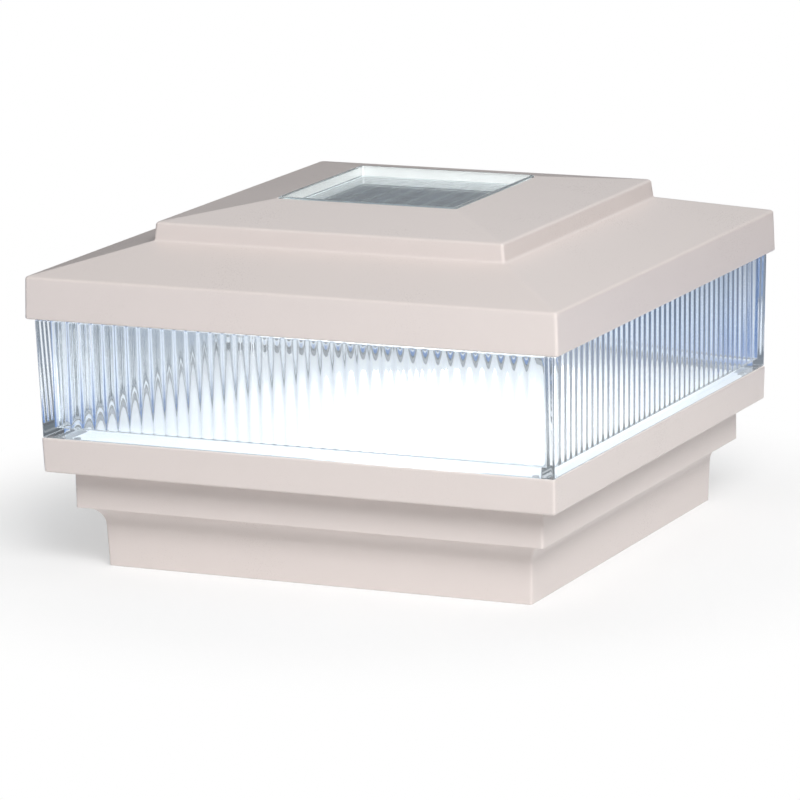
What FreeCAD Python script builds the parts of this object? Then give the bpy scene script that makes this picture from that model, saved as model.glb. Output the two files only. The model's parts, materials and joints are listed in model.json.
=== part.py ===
import FreeCAD, Part

import math
import os

import Sketcher
from FreeCAD import Rotation, Vector

# A deck post cap light. A lid with a solar window stands on a clear reeded lens, the lens stands
# in a stepped base, and the base sleeves over a square post. Under the lit floor hangs a module
# with two cells, a control board, a slide switch and a hinged battery door.
#
# Frame: millimetres, +Z up, origin at the centre of the base's lower edge.
# "half" is half of a square's width, and "z" values are heights above the origin.

SIZES = {
    # shared fits
    "fit_gap": 0.3,
    "running_gap": 0.08,
    "thread_gap": 0.1,
    "cut_over": 1.0,
    # base: the sleeve over the post, the cove and the two bands
    "socket_half": 64.2,
    "skirt_wall": 2.35,
    "skirt_draft": 0.45,
    "skirt_height": 12.1,
    "cove_radius": 6.2,
    "lower_band_height": 11.3,
    "upper_band_step": 6.4,
    "upper_band_height": 10.1,
    "upper_band_draft": 0.33,
    "base_wall": 2.8,
    "ledge_width": 2.5,
    "deck_thick": 2.5,
    "base_screw_place": 52.0,
    "base_boss_radius": 4.5,
    "base_boss_height": 5.5,
    # lens
    "lens_inset": 0.3,
    "lens_height": 34.9,
    "lens_draft": 0.85,
    "lens_wall": 3.0,
    "lens_lap": 5.4,
    "tongue_depth": 3.7,
    "tongue_wall": 2.4,
    "foot_rise": 2.8,
    "rib_pitch": 3.81,
    "rib_height": 0.8,
    "rib_margin": 6.1,
    "lug_thick": 2.0,
    "lug_reach": 10.0,
    "foot_lug_reach": 8.8,
    "foot_lug_drop": 0.2,
    # lid
    "lid_overhang": 2.02,
    "lip_wall": 3.2,
    "lip_height": 12.2,
    "lip_draft": 0.31,
    "lower_rise": 7.2,
    "tier_half": 54.9,
    "tier_draft": 0.55,
    "tier_height": 5.3,
    "crown_rise": 4.0,
    "roof_wall": 2.9,
    "seat_thick": 3.7,
    "cap_post_radius": 3.7,
    "cap_screw_place": 71.0,
    # solar window and the panel under it
    "window_half": 28.2,
    "window_gap": 0.25,
    "window_proud": 0.3,
    "window_rim": 1.0,
    "window_recess": 3.0,
    "window_floor": 1.2,
    "window_flange": 4.6,
    "flange_thick": 1.6,
    "gasket_thick": 0.8,
    "board_thick": 1.6,
    "cell_thick": 0.3,
    "cell_margin": 1.2,
    "cell_split": 0.6,
    "ribbon_width": 1.4,
    "ribbon_thick": 0.1,
    "retainer_margin": 3.5,
    "retainer_thick": 2.0,
    "retainer_window": 20.0,
    "retainer_screw_reach": 3.7,
    "seat_room": 0.63,
    "retainer_post_radius": 3.2,
    # ceiling, floor and light
    "ceiling_thick": 1.6,
    "floor_drop": 1.2,
    "floor_thick": 1.5,
    "floor_post_radius": 4.0,
    "floor_flange_thick": 1.6,
    "led_board_radius": 20.0,
    "led_ring_radius": 13.0,
    "led_size": 3.0,
    "led_height": 0.8,
    "dome_radius": 25.0,
    "dome_rise": 10.0,
    "dome_wall": 1.2,
    "dome_flange": 2.5,
    "dome_flange_thick": 1.2,
    "dome_peg_radius": 1.3,
    "led_screw_place": 16.5,
    "led_lead_place": 3.0,
    # module case
    "case_half": 33.0,
    "case_wall": 1.6,
    "case_roof": 1.2,
    "case_lift": 0.4,
    "bay_depth": 32.0,
    "partition_thick": 1.4,
    "bulkhead_thick": 1.2,
    "ear_reach": 4.5,
    "ear_side": 22.0,
    "ear_half": 4.0,
    "ear_thick": 2.0,
    "ear_drop": 6.0,
    "ear_post_radius": 3.0,
    "service_post_inset": 3.2,
    "service_post_radius": 2.5,
    # cells, contacts and the battery door
    "cell_radius": 7.25,
    "cell_length": 50.5,
    "cell_pitch": 15.8,
    "cell_gap": 0.25,
    "nub_radius": 2.75,
    "nub_length": 1.0,
    "contact_thick": 0.4,
    "contact_width": 11.0,
    "contact_height": 9.0,
    "spring_room": 4.9,
    "spring_radius": 3.2,
    "spring_wire_radius": 0.35,
    "spring_turns": 3.5,
    "door_thick": 1.5,
    "door_recess": 0.5,
    "door_gap": 0.55,
    "hinge_inset": 2.4,
    "hinge_rise": 1.8,
    "barrel_radius": 1.7,
    "pin_radius": 0.9,
    "end_lug": 6.8,
    "middle_lug_half": 5.5,
    "latch_half": 6.0,
    "latch_thick": 1.0,
    "latch_height": 3.5,
    # control board and its parts
    "pcb_half_x": 25.0,
    "pcb_half_y": 12.0,
    "pcb_rise": 4.7,
    "standoff_place": 21.0,
    "standoff_radius": 2.5,
    "switch_x": 12.0,
    "switch_length": 8.6,
    "switch_width": 4.4,
    "switch_height": 3.6,
    "switch_travel": 2.0,
    "knob_length": 2.6,
    "knob_width": 1.6,
    "knob_inset": 0.2,
    "chip_length": 5.0,
    "chip_width": 4.0,
    "chip_height": 1.5,
    "drum_radius": 4.0,
    "drum_height": 5.0,
    "drum_flange": 1.0,
    "winding_inset": 0.4,
    "can_radius": 3.15,
    "can_height": 7.0,
    # leads
    "lead_radius": 0.55,
    "lead_split": 0.7,
    "sleeve_x": 62.0,
    "sleeve_y": 68.5,
    "sleeve_radius": 2.3,
    "sleeve_bore": 1.75,
    "grommet_x": 20.0,
    "grommet_radius": 3.4,
    "grommet_neck": 2.5,
    "grommet_lip": 0.9,
    # screws: one size for the large joints, a smaller one for the rest
    "screw_head_radius": 2.8,
    "screw_head_height": 1.8,
    "screw_radius": 1.45,
    "small_head_radius": 2.1,
    "small_head_height": 1.3,
    "small_radius": 1.05,
    "hole_gap": 0.25,
    "base_screw_length": 12.0,
    "cap_screw_length": 10.0,
    "lens_screw_length": 4.6,
    "ear_screw_length": 6.5,
    "retainer_screw_length": 5.0,
    "service_screw_length": 7.0,
    "pcb_screw_length": 6.0,
    "led_screw_length": 4.2,
}

CORNERS = [(-1, -1), (1, -1), (1, 1), (-1, 1)]
CELL_STRIPS = 4
LED_COUNT = 6

doc = FreeCAD.newDocument("post_cap_light")
sheet = doc.addObject("Spreadsheet::Sheet", "sizes")
for row, (name, value) in enumerate(SIZES.items(), start=1):
    sheet.set(f"A{row}", name)
    sheet.set(f"B{row}", str(value))
    sheet.setAlias(f"B{row}", name)
doc.recompute()


class Size:
    """A length held twice: as a number, and as the formula that ties it to the sheet."""

    def __init__(self, number, formula):
        self.number = float(number)
        self.formula = formula

    def __float__(self):
        return self.number

    def __add__(self, other):
        return Size(self.number + float(other), f"({self.formula} + {text(other)})")

    def __radd__(self, other):
        return Size(float(other) + self.number, f"({text(other)} + {self.formula})")

    def __sub__(self, other):
        return Size(self.number - float(other), f"({self.formula} - {text(other)})")

    def __rsub__(self, other):
        return Size(float(other) - self.number, f"({text(other)} - {self.formula})")

    def __mul__(self, other):
        return Size(self.number * float(other), f"({self.formula} * {text(other)})")

    def __rmul__(self, other):
        return self * other

    def __truediv__(self, other):
        return Size(self.number / float(other), f"({self.formula} / {text(other)})")

    def __neg__(self):
        return 0 - self


def text(value):
    """The formula of a Size, or a plain number written out."""
    return value.formula if isinstance(value, Size) else f"({float(value)!r})"


class Sheet:
    """The sheet's cells, each read back as a Size under its alias."""

    def __getattr__(self, name):
        return Size(sheet.get(name), f"sizes.{name}")


s = Sheet()
ZERO = Size(0, "0.0")
nodes = []


def tie(thing, name, size):
    thing.setExpression(name, text(size))


def place(thing, x, y, z):
    tie(thing, "Placement.Base.x", x)
    tie(thing, "Placement.Base.y", y)
    tie(thing, "Placement.Base.z", z)
    return thing


def block(name, x, y, z):
    """A box between a low and a high value along each axis."""
    box = doc.addObject("Part::Box", name)
    tie(box, "Length", x[1] - x[0])
    tie(box, "Width", y[1] - y[0])
    tie(box, "Height", z[1] - z[0])
    return place(box, x[0], y[0], z[0])


def slab(name, half, z):
    """A square plate centred on the axis of the light."""
    return block(name, (-half, half), (-half, half), z)


def rod(name, radius, z, x=0.0, y=0.0):
    """An upright cylinder."""
    cylinder = doc.addObject("Part::Cylinder", name)
    tie(cylinder, "Radius", radius)
    tie(cylinder, "Height", z[1] - z[0])
    return place(cylinder, x, y, z[0])


def bar(name, radius, x, y, z):
    """A cylinder that lies along X."""
    cylinder = doc.addObject("Part::Cylinder", name)
    cylinder.Placement.Rotation = Rotation(Vector(0, 1, 0), 90)
    tie(cylinder, "Radius", radius)
    tie(cylinder, "Height", x[1] - x[0])
    return place(cylinder, x[0], y, z)


def fuse(name, *shapes):
    if len(shapes) == 1:
        return shapes[0]
    joined = doc.addObject("Part::MultiFuse", name)
    joined.Shapes = list(shapes)
    joined.Refine = True
    return joined


def cut(name, base, *tools):
    taken = doc.addObject("Part::Cut", name)
    taken.Base = base
    taken.Tool = fuse(f"{name}_tools", *tools)
    taken.Refine = True
    return taken


def group(name, shapes):
    """Identical pieces that share one node, each its own solid."""
    together = doc.addObject("Part::Compound", name)
    together.Links = list(shapes)
    return together


def node(label, thing):
    """Name a finished sub-part, which becomes one node of the model."""
    thing.Label = label
    nodes.append(thing)
    return thing


def at_corners(make, spot):
    """Make one thing at each of the four corners of a square of half width spot."""
    return [make(index, spot * x, spot * y) for index, (x, y) in enumerate(CORNERS)]


def arc_through(start, end, radius, side=1):
    """The minor arc from start to end, its centre to the right of the way (left if side is -1).

    It is drawn anticlockwise, so with its centre to the right it is drawn from end to start.
    """
    chord = end - start
    inward = Vector(chord.y, -chord.x, 0).normalize() * side
    centre = start + chord * 0.5 + inward * math.sqrt(radius ** 2 - (chord.Length / 2) ** 2)
    first, last = (end, start) if side == 1 else (start, end)
    angles = [math.atan2(spot.y - centre.y, spot.x - centre.x) for spot in (first, last)]
    if angles[1] < angles[0]:
        angles[1] += 2 * math.pi
    return Part.ArcOfCircle(Part.Circle(centre, Vector(0, 0, 1), radius), *angles)


def outline_sketch(body, role, points):
    """A closed, fully dimensioned outline of points (x, y).

    A point (x, y, radius) is reached by an arc, and (x, y, radius, -1) by one that bulges the
    other way.
    """
    plane = next(item for item in body.Origin.OriginFeatures if item.Role == role)
    sketch = body.newObject("Sketcher::SketchObject", f"{body.Name}_sketch")
    sketch.AttachmentSupport = [(plane, "")]
    sketch.MapMode = "FlatFace"
    places = [Vector(float(point[0]), float(point[1]), 0) for point in points]
    ends = []
    for index, start in enumerate(places):
        following = (index + 1) % len(places)
        end = places[following]
        if len(points[following]) > 2:
            radius, *side = points[following][2:]
            edge = sketch.addGeometry(arc_through(start, end, float(radius), *side))
            bend = sketch.addConstraint(Sketcher.Constraint("Radius", edge, float(radius)))
            tie(sketch, f"Constraints[{bend}]", radius)
            ends.append((1, 2) if side else (2, 1))
        else:
            sketch.addGeometry(Part.LineSegment(start, end))
            ends.append((1, 2))
    for index, point in enumerate(points):
        following = (index + 1) % len(points)
        sketch.addConstraint(
            Sketcher.Constraint("Coincident", index, ends[index][1], following, ends[following][0]))
        for kind, value in zip(("DistanceX", "DistanceY"), point):
            gap = sketch.addConstraint(
                Sketcher.Constraint(kind, -1, 1, index, ends[index][0], float(value)))
            tie(sketch, f"Constraints[{gap}]", value)
    return sketch


def prism(name, role, points, length):
    """An outline run the same distance to both sides of its plane."""
    body = doc.addObject("PartDesign::Body", name)
    pad = body.newObject("PartDesign::Pad", f"{name}_pad")
    pad.Profile = outline_sketch(body, role, points)
    pad.SideType = "Symmetric"
    tie(pad, "Length", length)
    body.Tip = pad
    return body


def turned(name, points, x=0.0, y=0.0, z=0.0):
    """A half outline in the XZ plane, turned once round Z."""
    body = doc.addObject("PartDesign::Body", name)
    sketch = outline_sketch(body, "XZ_Plane", points)
    turn = body.newObject("PartDesign::Revolution", f"{name}_turn")
    turn.Profile = sketch
    turn.ReferenceAxis = (sketch, ["V_Axis"])
    turn.Angle = 360.0
    body.Tip = turn
    return place(body, x, y, z)


def moulding(name, side):
    """A square moulding: one outline run along Y and again along X, and what the two share.

    side lists (half width, z) up one side; the other side mirrors it, so corners are mitred.
    """
    mirrored = []
    for index in range(len(side) - 1, -1, -1):
        bend = side[index + 1][2:] if index + 1 < len(side) else ()
        mirrored.append((-side[index][0], side[index][1], *bend))
    widest = max((point[0] for point in side), key=float)
    runs = [prism(f"{name}_run_{role[:2].lower()}", role, side + mirrored, widest * 3)
            for role in ("XZ_Plane", "YZ_Plane")]
    shared = doc.addObject("Part::MultiCommon", name)
    shared.Shapes = runs
    return shared


def screw(name, head, x, y, under, length, flat=False):
    """A cross-head screw driven upwards: its head lies below the height under."""
    wide, tall, thin = head
    shank = rod(f"{name}_shank", thin, (under, under + length), x, y)
    if flat:
        cap = doc.addObject("Part::Cone", f"{name}_cap")
        tie(cap, "Radius1", wide)
        tie(cap, "Radius2", thin)
        tie(cap, "Height", tall)
        place(cap, x, y, under - tall)
    else:
        cap = rod(f"{name}_cap", wide, (under - tall, under), x, y)
    slot_half = wide * 0.6
    slot_thin = wide * 0.12
    deep = (under - tall * 1.1, under - tall * 0.5)
    along = block(f"{name}_slot_x", (x - slot_half, x + slot_half),
                  (y - slot_thin, y + slot_thin), deep)
    across = block(f"{name}_slot_y", (x - slot_thin, x + slot_thin),
                   (y - slot_half, y + slot_half), deep)
    return cut(name, fuse(f"{name}_blank", cap, shank), along, across)


def screws(label, head, spots, under, length, flat=False):
    made = [screw(f"{label}_{index}", head, x, y, under, length, flat)
            for index, (x, y) in enumerate(spots)]
    return node(label, group(f"{label}_group", made))


def corner_spots(place_x, place_y):
    return [(place_x * x, place_y * y) for x, y in CORNERS]


def tangent_arc(start, way, end):
    """The arc that leaves start in the direction way and ends at end."""
    chord = end - start
    along = Vector(chord).normalize()
    aside = way - along * way.dot(along)
    if aside.Length < 1e-9:
        return Part.LineSegment(start, end)
    lean = math.acos(max(-1.0, min(1.0, way.dot(along))))
    bulge = aside.normalize() * (chord.Length / 2 * math.tan(lean / 2))
    return Part.Arc(start, start + chord * 0.5 + bulge, end)


def lead(label, points):
    """A lead: straight runs joined by arcs as large as the two runs of each corner allow."""
    corners = [Vector(*[float(value) for value in point]) for point in points]
    edges = []
    last = corners[0]
    radii = []
    for before, here, after in zip(corners, corners[1:], corners[2:]):
        way_in = (here - before).normalize()
        way_out = (after - here).normalize()
        half_turn = way_in.getAngle(way_out) / 2
        room = 0.45 * min((here - before).Length, (after - here).Length)
        radii.append(room / math.tan(half_turn))
        start = here - way_in * room
        end = here + way_out * room
        edges.append(Part.LineSegment(last, start).toShape())
        edges.append(tangent_arc(start, way_in, end).toShape())
        last = end
    edges.append(Part.LineSegment(last, corners[-1]).toShape())
    path = Part.Wire(edges)
    first_way = (corners[1] - corners[0]).normalize()
    ring = Part.Wire(Part.makeCircle(float(s.lead_radius), corners[0], first_way))
    feature = doc.addObject("Part::Feature", label)
    feature.Shape = path.makePipeShell([ring], True, False)
    section = math.pi * float(s.lead_radius) ** 2
    ratio = feature.Shape.Volume / (section * path.Length)
    tightest = f"{min(radii):.1f}" if radii else "none"
    print(f"{label}: {path.Length:.1f} mm, tightest bend {tightest}, volume ratio {ratio:.4f}")
    return node(label, feature)


LARGE = (s.screw_head_radius, s.screw_head_height, s.screw_radius)
SMALL = (s.small_head_radius, s.small_head_height, s.small_radius)

# ---------------------------------------------------------------- heights and half widths

# base, from the bottom up
skirt_half = s.socket_half + s.skirt_wall
skirt_top_half = skirt_half + s.skirt_draft
cove_top = s.skirt_height + s.cove_radius
lower_band_half = skirt_top_half + s.cove_radius
lower_band_top = cove_top + s.lower_band_height
upper_band_half = lower_band_half + s.upper_band_step
upper_band_top_half = upper_band_half + s.upper_band_draft
base_top = lower_band_top + s.upper_band_height
rim_inner = upper_band_top_half - s.base_wall

# lens
lens_foot_half = upper_band_top_half - s.lens_inset
lens_top_half = lens_foot_half + s.lens_draft
lip_bottom = base_top + s.lens_height
shoulder_z = lip_bottom - s.fit_gap
lens_top = lip_bottom + s.lens_lap
tongue_half = rim_inner - s.fit_gap
tongue_inner = tongue_half - s.tongue_wall
tongue_bottom = base_top - s.tongue_depth
foot_top = base_top + s.foot_rise
reed_half = lens_foot_half - s.lens_wall

# lid
lip_half = lens_top_half + s.lid_overhang
lip_inner = lip_half - s.lip_wall
lap_half = lip_inner - s.fit_gap
lip_top_half = lip_half - s.lip_draft
lip_top = lip_bottom + s.lip_height
tier_foot = lip_top + s.lower_rise
tier_top_half = s.tier_half - s.tier_draft
tier_top = tier_foot + s.tier_height
roof_top = tier_top + s.crown_rise
seat_z = roof_top - s.seat_thick
window_flange_half = s.window_half + s.window_flange
retainer_screw_place = window_flange_half + s.retainer_screw_reach
retainer_half = retainer_screw_place + s.retainer_margin
lower_slope = s.lower_rise / (lip_top_half - s.tier_half)
crown_slope = s.crown_rise / (tier_top_half - s.window_half)


def under_lower(half):
    """Height of the inside of the lower slope at a half width."""
    return lip_top + (lip_top_half - half) * lower_slope - s.roof_wall


def under_crown(half):
    """Height of the inside of the upper slope at a half width."""
    return tier_top + (tier_top_half - half) * crown_slope - s.roof_wall


# ceiling, floor and module
lug_bottom = lens_top - s.lug_thick
ceiling_z = (lug_bottom - s.ceiling_thick, lug_bottom)
ceiling_half = reed_half - s.rib_height - s.fit_gap * 2
floor_top = base_top - s.floor_drop
floor_bottom = floor_top - s.floor_thick
flange_bottom = tongue_bottom - s.floor_flange_thick
plate_half = tongue_inner - s.fit_gap
floor_inner = plate_half - s.floor_thick
case_ceiling = floor_bottom - s.case_roof
cell_z = case_ceiling - s.cell_gap - s.cell_radius
door_top = cell_z - s.cell_radius - s.door_gap
door_bottom = door_top - s.door_thick
stop_z = door_bottom - s.door_recess
deck_top = stop_z + s.deck_thick
case_bottom = stop_z + s.case_lift
case_inner = s.case_half - s.case_wall
ear_place = s.case_half + s.ear_reach
service_post_place = case_inner - s.service_post_inset
partition_near = s.bay_depth - case_inner
boss_top = stop_z + s.base_boss_height
pcb_bottom = door_top + s.pcb_rise
pcb_top = pcb_bottom + s.board_thick
partition_far = partition_near + s.partition_thick
pcb_y = (partition_far + case_inner) / 2
cell_y = (partition_near - s.cell_pitch * 1.5 - s.fit_gap * 2,
          partition_near - s.cell_pitch * 0.5 - s.fit_gap * 2)
bay_half = (s.cell_length + s.spring_room) / 2 + s.contact_thick

# ---------------------------------------------------------------- base


def base_skirt():
    """Stepped base: a sleeve over the post, a cove, two bands and the deck that stops the post."""
    outside = moulding("base_outside", [
        (skirt_half, ZERO),
        (skirt_top_half, s.skirt_height),
        (lower_band_half, cove_top, s.cove_radius),
        (lower_band_half, lower_band_top),
        (upper_band_half, lower_band_top),
        (upper_band_top_half, base_top),
    ])
    lower_inner = lower_band_half - s.base_wall
    ledge_half = rim_inner - s.ledge_width
    shelf = lower_band_top + s.base_wall
    inside = moulding("base_inside", [
        (lower_inner, deck_top),
        (lower_inner, shelf),
        (ledge_half, shelf),
        (ledge_half, flange_bottom),
        (rim_inner, flange_bottom),
        (rim_inner, base_top + s.cut_over),
    ])
    socket = slab("post_socket", s.socket_half, (-s.cut_over, stop_z))
    hatch = slab("module_hatch", s.case_half + s.fit_gap, (stop_z - s.cut_over, deck_top + s.cut_over))
    shell = cut("base_shell", outside, inside, socket, hatch)
    bosses = at_corners(lambda index, x, y: rod(
        f"base_boss_{index}", s.base_boss_radius, (stop_z, boss_top), x, y), s.base_screw_place)
    holes = at_corners(lambda index, x, y: rod(
        f"base_hole_{index}", s.screw_radius + s.hole_gap,
        (stop_z - s.cut_over, boss_top + s.cut_over), x, y), s.base_screw_place)
    sinks = at_corners(lambda index, x, y: rod(
        f"base_sink_{index}", s.screw_head_radius + s.fit_gap,
        (stop_z - s.cut_over, base_screw_seat()), x, y), s.base_screw_place)
    return node("base_skirt", cut("base", fuse("base_blank", shell, *bosses), *holes, *sinks))


def base_screw_seat():
    """Height of the face in a boss that a base screw's head bears on."""
    return stop_z + s.screw_head_height + s.fit_gap


# ---------------------------------------------------------------- lens


def reed_core(name, low, high):
    """The space inside the lens: a square prism whose sides dip inwards at every reed."""
    half = float(reed_half)
    pitch = float(s.rib_pitch)
    span = float(lens_foot_half - s.rib_margin)
    count = int(2 * span / pitch + 0.5)
    start = -count * pitch / 2
    crest = -half + float(s.rib_height)
    edges = []
    for quarter in range(4):
        turn = Rotation(Vector(0, 0, 1), 90 * quarter)
        side = [turn.multVec(Vector(start + pitch * index, -half, 0)) for index in range(count + 1)]
        tops = [turn.multVec(Vector(start + pitch * (index + 0.5), crest, 0)) for index in range(count)]
        edges.append(Part.LineSegment(turn.multVec(Vector(-half, -half, 0)), side[0]).toShape())
        edges += [Part.Arc(*reed).toShape() for reed in zip(side, tops, side[1:])]
        edges.append(Part.LineSegment(side[-1], turn.multVec(Vector(half, -half, 0))).toShape())
    face = Part.Face(Part.Wire(edges))
    core = doc.addObject("Part::Feature", name)
    core.Shape = face.extrude(Vector(0, 0, float(high - low)))
    core.Placement.Base = Vector(0, 0, float(low))
    print(f"reeds on each side: {count}")
    return core


def lens():
    """Clear square band, reeded inside, with a tongue in the base and a lap inside the lid."""
    outside = moulding("lens_outside", [
        (tongue_half, tongue_bottom),
        (tongue_half, base_top),
        (lens_foot_half, base_top),
        (lens_top_half, shoulder_z),
        (lap_half, shoulder_z),
        (lap_half, lens_top),
    ])
    foot = slab("lens_foot_space", tongue_inner, (tongue_bottom - s.cut_over, foot_top + s.cut_over))
    core = reed_core("lens_core", foot_top, lens_top + s.cut_over)
    band = cut("lens_band", outside, foot, core)

    def lug(name, outer, reach, z):
        def one(index, x, y):
            across = [sorted((side * outer, side * (outer - reach)), key=float)
                      for side in CORNERS[index]]
            return block(f"{name}_{index}", across[0], across[1], z)
        return [one(index, x, y) for index, (x, y) in enumerate(CORNERS)]

    top_lugs = lug("lens_lug", lap_half - s.lens_inset, s.lug_reach, (lug_bottom, lens_top))
    foot_lugs = lug("lens_foot_lug", tongue_half - s.lens_inset, s.foot_lug_reach,
                    (tongue_bottom, base_top - s.foot_lug_drop))
    top_holes = at_corners(lambda index, x, y: rod(
        f"lens_hole_{index}", s.screw_radius + s.hole_gap,
        (lug_bottom - s.cut_over, lens_top + s.cut_over), x, y), s.cap_screw_place)
    foot_holes = at_corners(lambda index, x, y: rod(
        f"lens_pilot_{index}", s.small_radius + s.thread_gap,
        (tongue_bottom - s.cut_over, base_top - s.foot_lug_drop - s.lens_inset), x, y),
        lens_screw_place())
    solid = fuse("lens_blank", band, *top_lugs, *foot_lugs)
    return node("lens", cut("lens_body", solid, *top_holes, *foot_holes))


def lens_screw_place():
    """Where the screws at the foot of the lens stand, inside its corner lugs."""
    return tongue_inner - s.small_head_radius - s.hole_gap * 3


# ---------------------------------------------------------------- lid and window


def roof_cap():
    """The lid: a deep lip, a low slope, a raised tier and an upper slope round the window."""
    outside = moulding("roof_outside", [
        (lip_half, lip_bottom),
        (lip_top_half, lip_top),
        (s.tier_half, tier_foot),
        (tier_top_half, tier_top),
        (s.window_half, roof_top),
    ])
    tier_inner = s.tier_half - s.roof_wall
    tier_top_inner = tier_top_half - s.roof_wall
    seat_half = window_flange_half + s.seat_room
    inside = moulding("roof_inside", [
        (lip_inner, lip_bottom - s.cut_over),
        (lip_inner, under_lower(lip_inner)),
        (tier_inner, under_lower(tier_inner)),
        (tier_top_inner, under_crown(tier_top_inner)),
        (seat_half, seat_z),
    ])
    light = slab("roof_opening", s.window_half + s.window_gap,
                 (seat_z - s.cut_over, roof_top + s.cut_over))
    shell = cut("roof_shell", outside, inside, light)
    cap_post_top = under_lower(s.cap_screw_place + s.cap_post_radius) + s.roof_wall / 2
    cap_posts = at_corners(lambda index, x, y: rod(
        f"cap_post_{index}", s.cap_post_radius, (lens_top, cap_post_top), x, y), s.cap_screw_place)
    post_top = under_crown(retainer_screw_place + s.retainer_post_radius) + s.roof_wall / 2
    posts = at_corners(lambda index, x, y: rod(
        f"retainer_post_{index}", s.retainer_post_radius, (retainer_top(), post_top), x, y),
        retainer_screw_place)
    cap_pilots = at_corners(lambda index, x, y: rod(
        f"cap_pilot_{index}", s.screw_radius + s.thread_gap,
        (lens_top - s.cut_over, ceiling_z[0] + s.cap_screw_length + s.fit_gap), x, y),
        s.cap_screw_place)
    pilots = at_corners(lambda index, x, y: rod(
        f"retainer_pilot_{index}", s.small_radius + s.thread_gap,
        (retainer_top() - s.cut_over,
         retainer_top() - s.retainer_thick + s.retainer_screw_length + s.fit_gap), x, y),
        retainer_screw_place)
    solid = fuse("roof_blank", shell, *cap_posts, *posts)
    return node("roof_cap", cut("roof", solid, *cap_pilots, *pilots))


def retainer_top():
    """Height of the underside of the window's flange, which the retainer presses on."""
    return seat_z - s.gasket_thick - s.flange_thick


def window_parts():
    """Clear window, its gasket, the solar board with its cells, and the retainer below them."""
    opening = s.window_half + s.window_gap
    flange_top = seat_z - s.gasket_thick
    gasket = slab("gasket_blank", window_flange_half, (flange_top, seat_z))
    gasket_hole = slab("gasket_hole", opening + s.fit_gap,
                       (flange_top - s.cut_over, seat_z + s.cut_over))
    node("window_gasket", cut("gasket", gasket, gasket_hole))

    window_top = roof_top + s.window_proud
    recess_floor = window_top - s.window_recess
    pocket_top = recess_floor - s.window_floor
    inner = s.window_half - s.window_rim
    tower = slab("window_tower", s.window_half, (retainer_top(), window_top))
    flange = slab("window_flange_blank", window_flange_half, (retainer_top(), flange_top))
    recess = slab("window_recess_space", inner, (recess_floor, window_top + s.cut_over))
    pocket = slab("window_pocket", inner, (retainer_top() - s.cut_over, pocket_top))
    node("panel_window", cut("window", fuse("window_blank", tower, flange), recess, pocket))

    board_half = inner - s.fit_gap
    board_top = retainer_top() + s.board_thick
    node("solar_board", slab("solar_board_blank", board_half, (retainer_top(), board_top)))
    cell_half = board_half - s.cell_margin
    strip = (cell_half * 2 - s.cell_split * (CELL_STRIPS - 1)) / CELL_STRIPS
    cell_top = board_top + s.cell_thick
    strips = []
    ribbons = []
    for index in range(CELL_STRIPS):
        left = (strip + s.cell_split) * index - cell_half
        strips.append(block(f"cell_strip_{index}", (left, left + strip),
                            (-cell_half, cell_half), (board_top, cell_top)))
        for share in (0.25, 0.75):
            middle = left + strip * share
            ribbons.append(block(
                f"ribbon_{index}_{int(share * 100)}",
                (middle - s.ribbon_width / 2, middle + s.ribbon_width / 2),
                (-cell_half, cell_half), (cell_top, cell_top + s.ribbon_thick)))
    node("solar_cells", group("cell_strips", strips))
    node("cell_ribbons", group("ribbons", ribbons))

    low = retainer_top() - s.retainer_thick
    plate = slab("retainer_blank", retainer_half, (low, retainer_top()))
    window = slab("retainer_hole", s.retainer_window, (low - s.cut_over, retainer_top() + s.cut_over))
    holes = at_corners(lambda index, x, y: rod(
        f"retainer_hole_{index}", s.small_radius + s.hole_gap,
        (low - s.cut_over, retainer_top() + s.cut_over), x, y), retainer_screw_place)
    node("panel_retainer", cut("retainer", plate, window, *holes))
    screws("retainer_screws", SMALL, corner_spots(retainer_screw_place, retainer_screw_place),
           low, s.retainer_screw_length)


# ---------------------------------------------------------------- ceiling and floor


def sleeve_hole(name, z):
    return rod(name, s.sleeve_radius + s.fit_gap / 2, z, -s.sleeve_x, s.sleeve_y)


def ceiling_reflector():
    """White plate that closes the lid, clamped with the lens lugs by the four cap screws."""
    plate = slab("ceiling_blank", ceiling_half, ceiling_z)
    through = (ceiling_z[0] - s.cut_over, ceiling_z[1] + s.cut_over)
    holes = at_corners(lambda index, x, y: rod(
        f"ceiling_hole_{index}", s.screw_radius + s.hole_gap, through, x, y), s.cap_screw_place)
    node("ceiling_reflector", cut("ceiling", plate, sleeve_hole("ceiling_lead_hole", through), *holes))
    screws("cap_screws", LARGE, corner_spots(s.cap_screw_place, s.cap_screw_place),
           ceiling_z[0], s.cap_screw_length)


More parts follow.
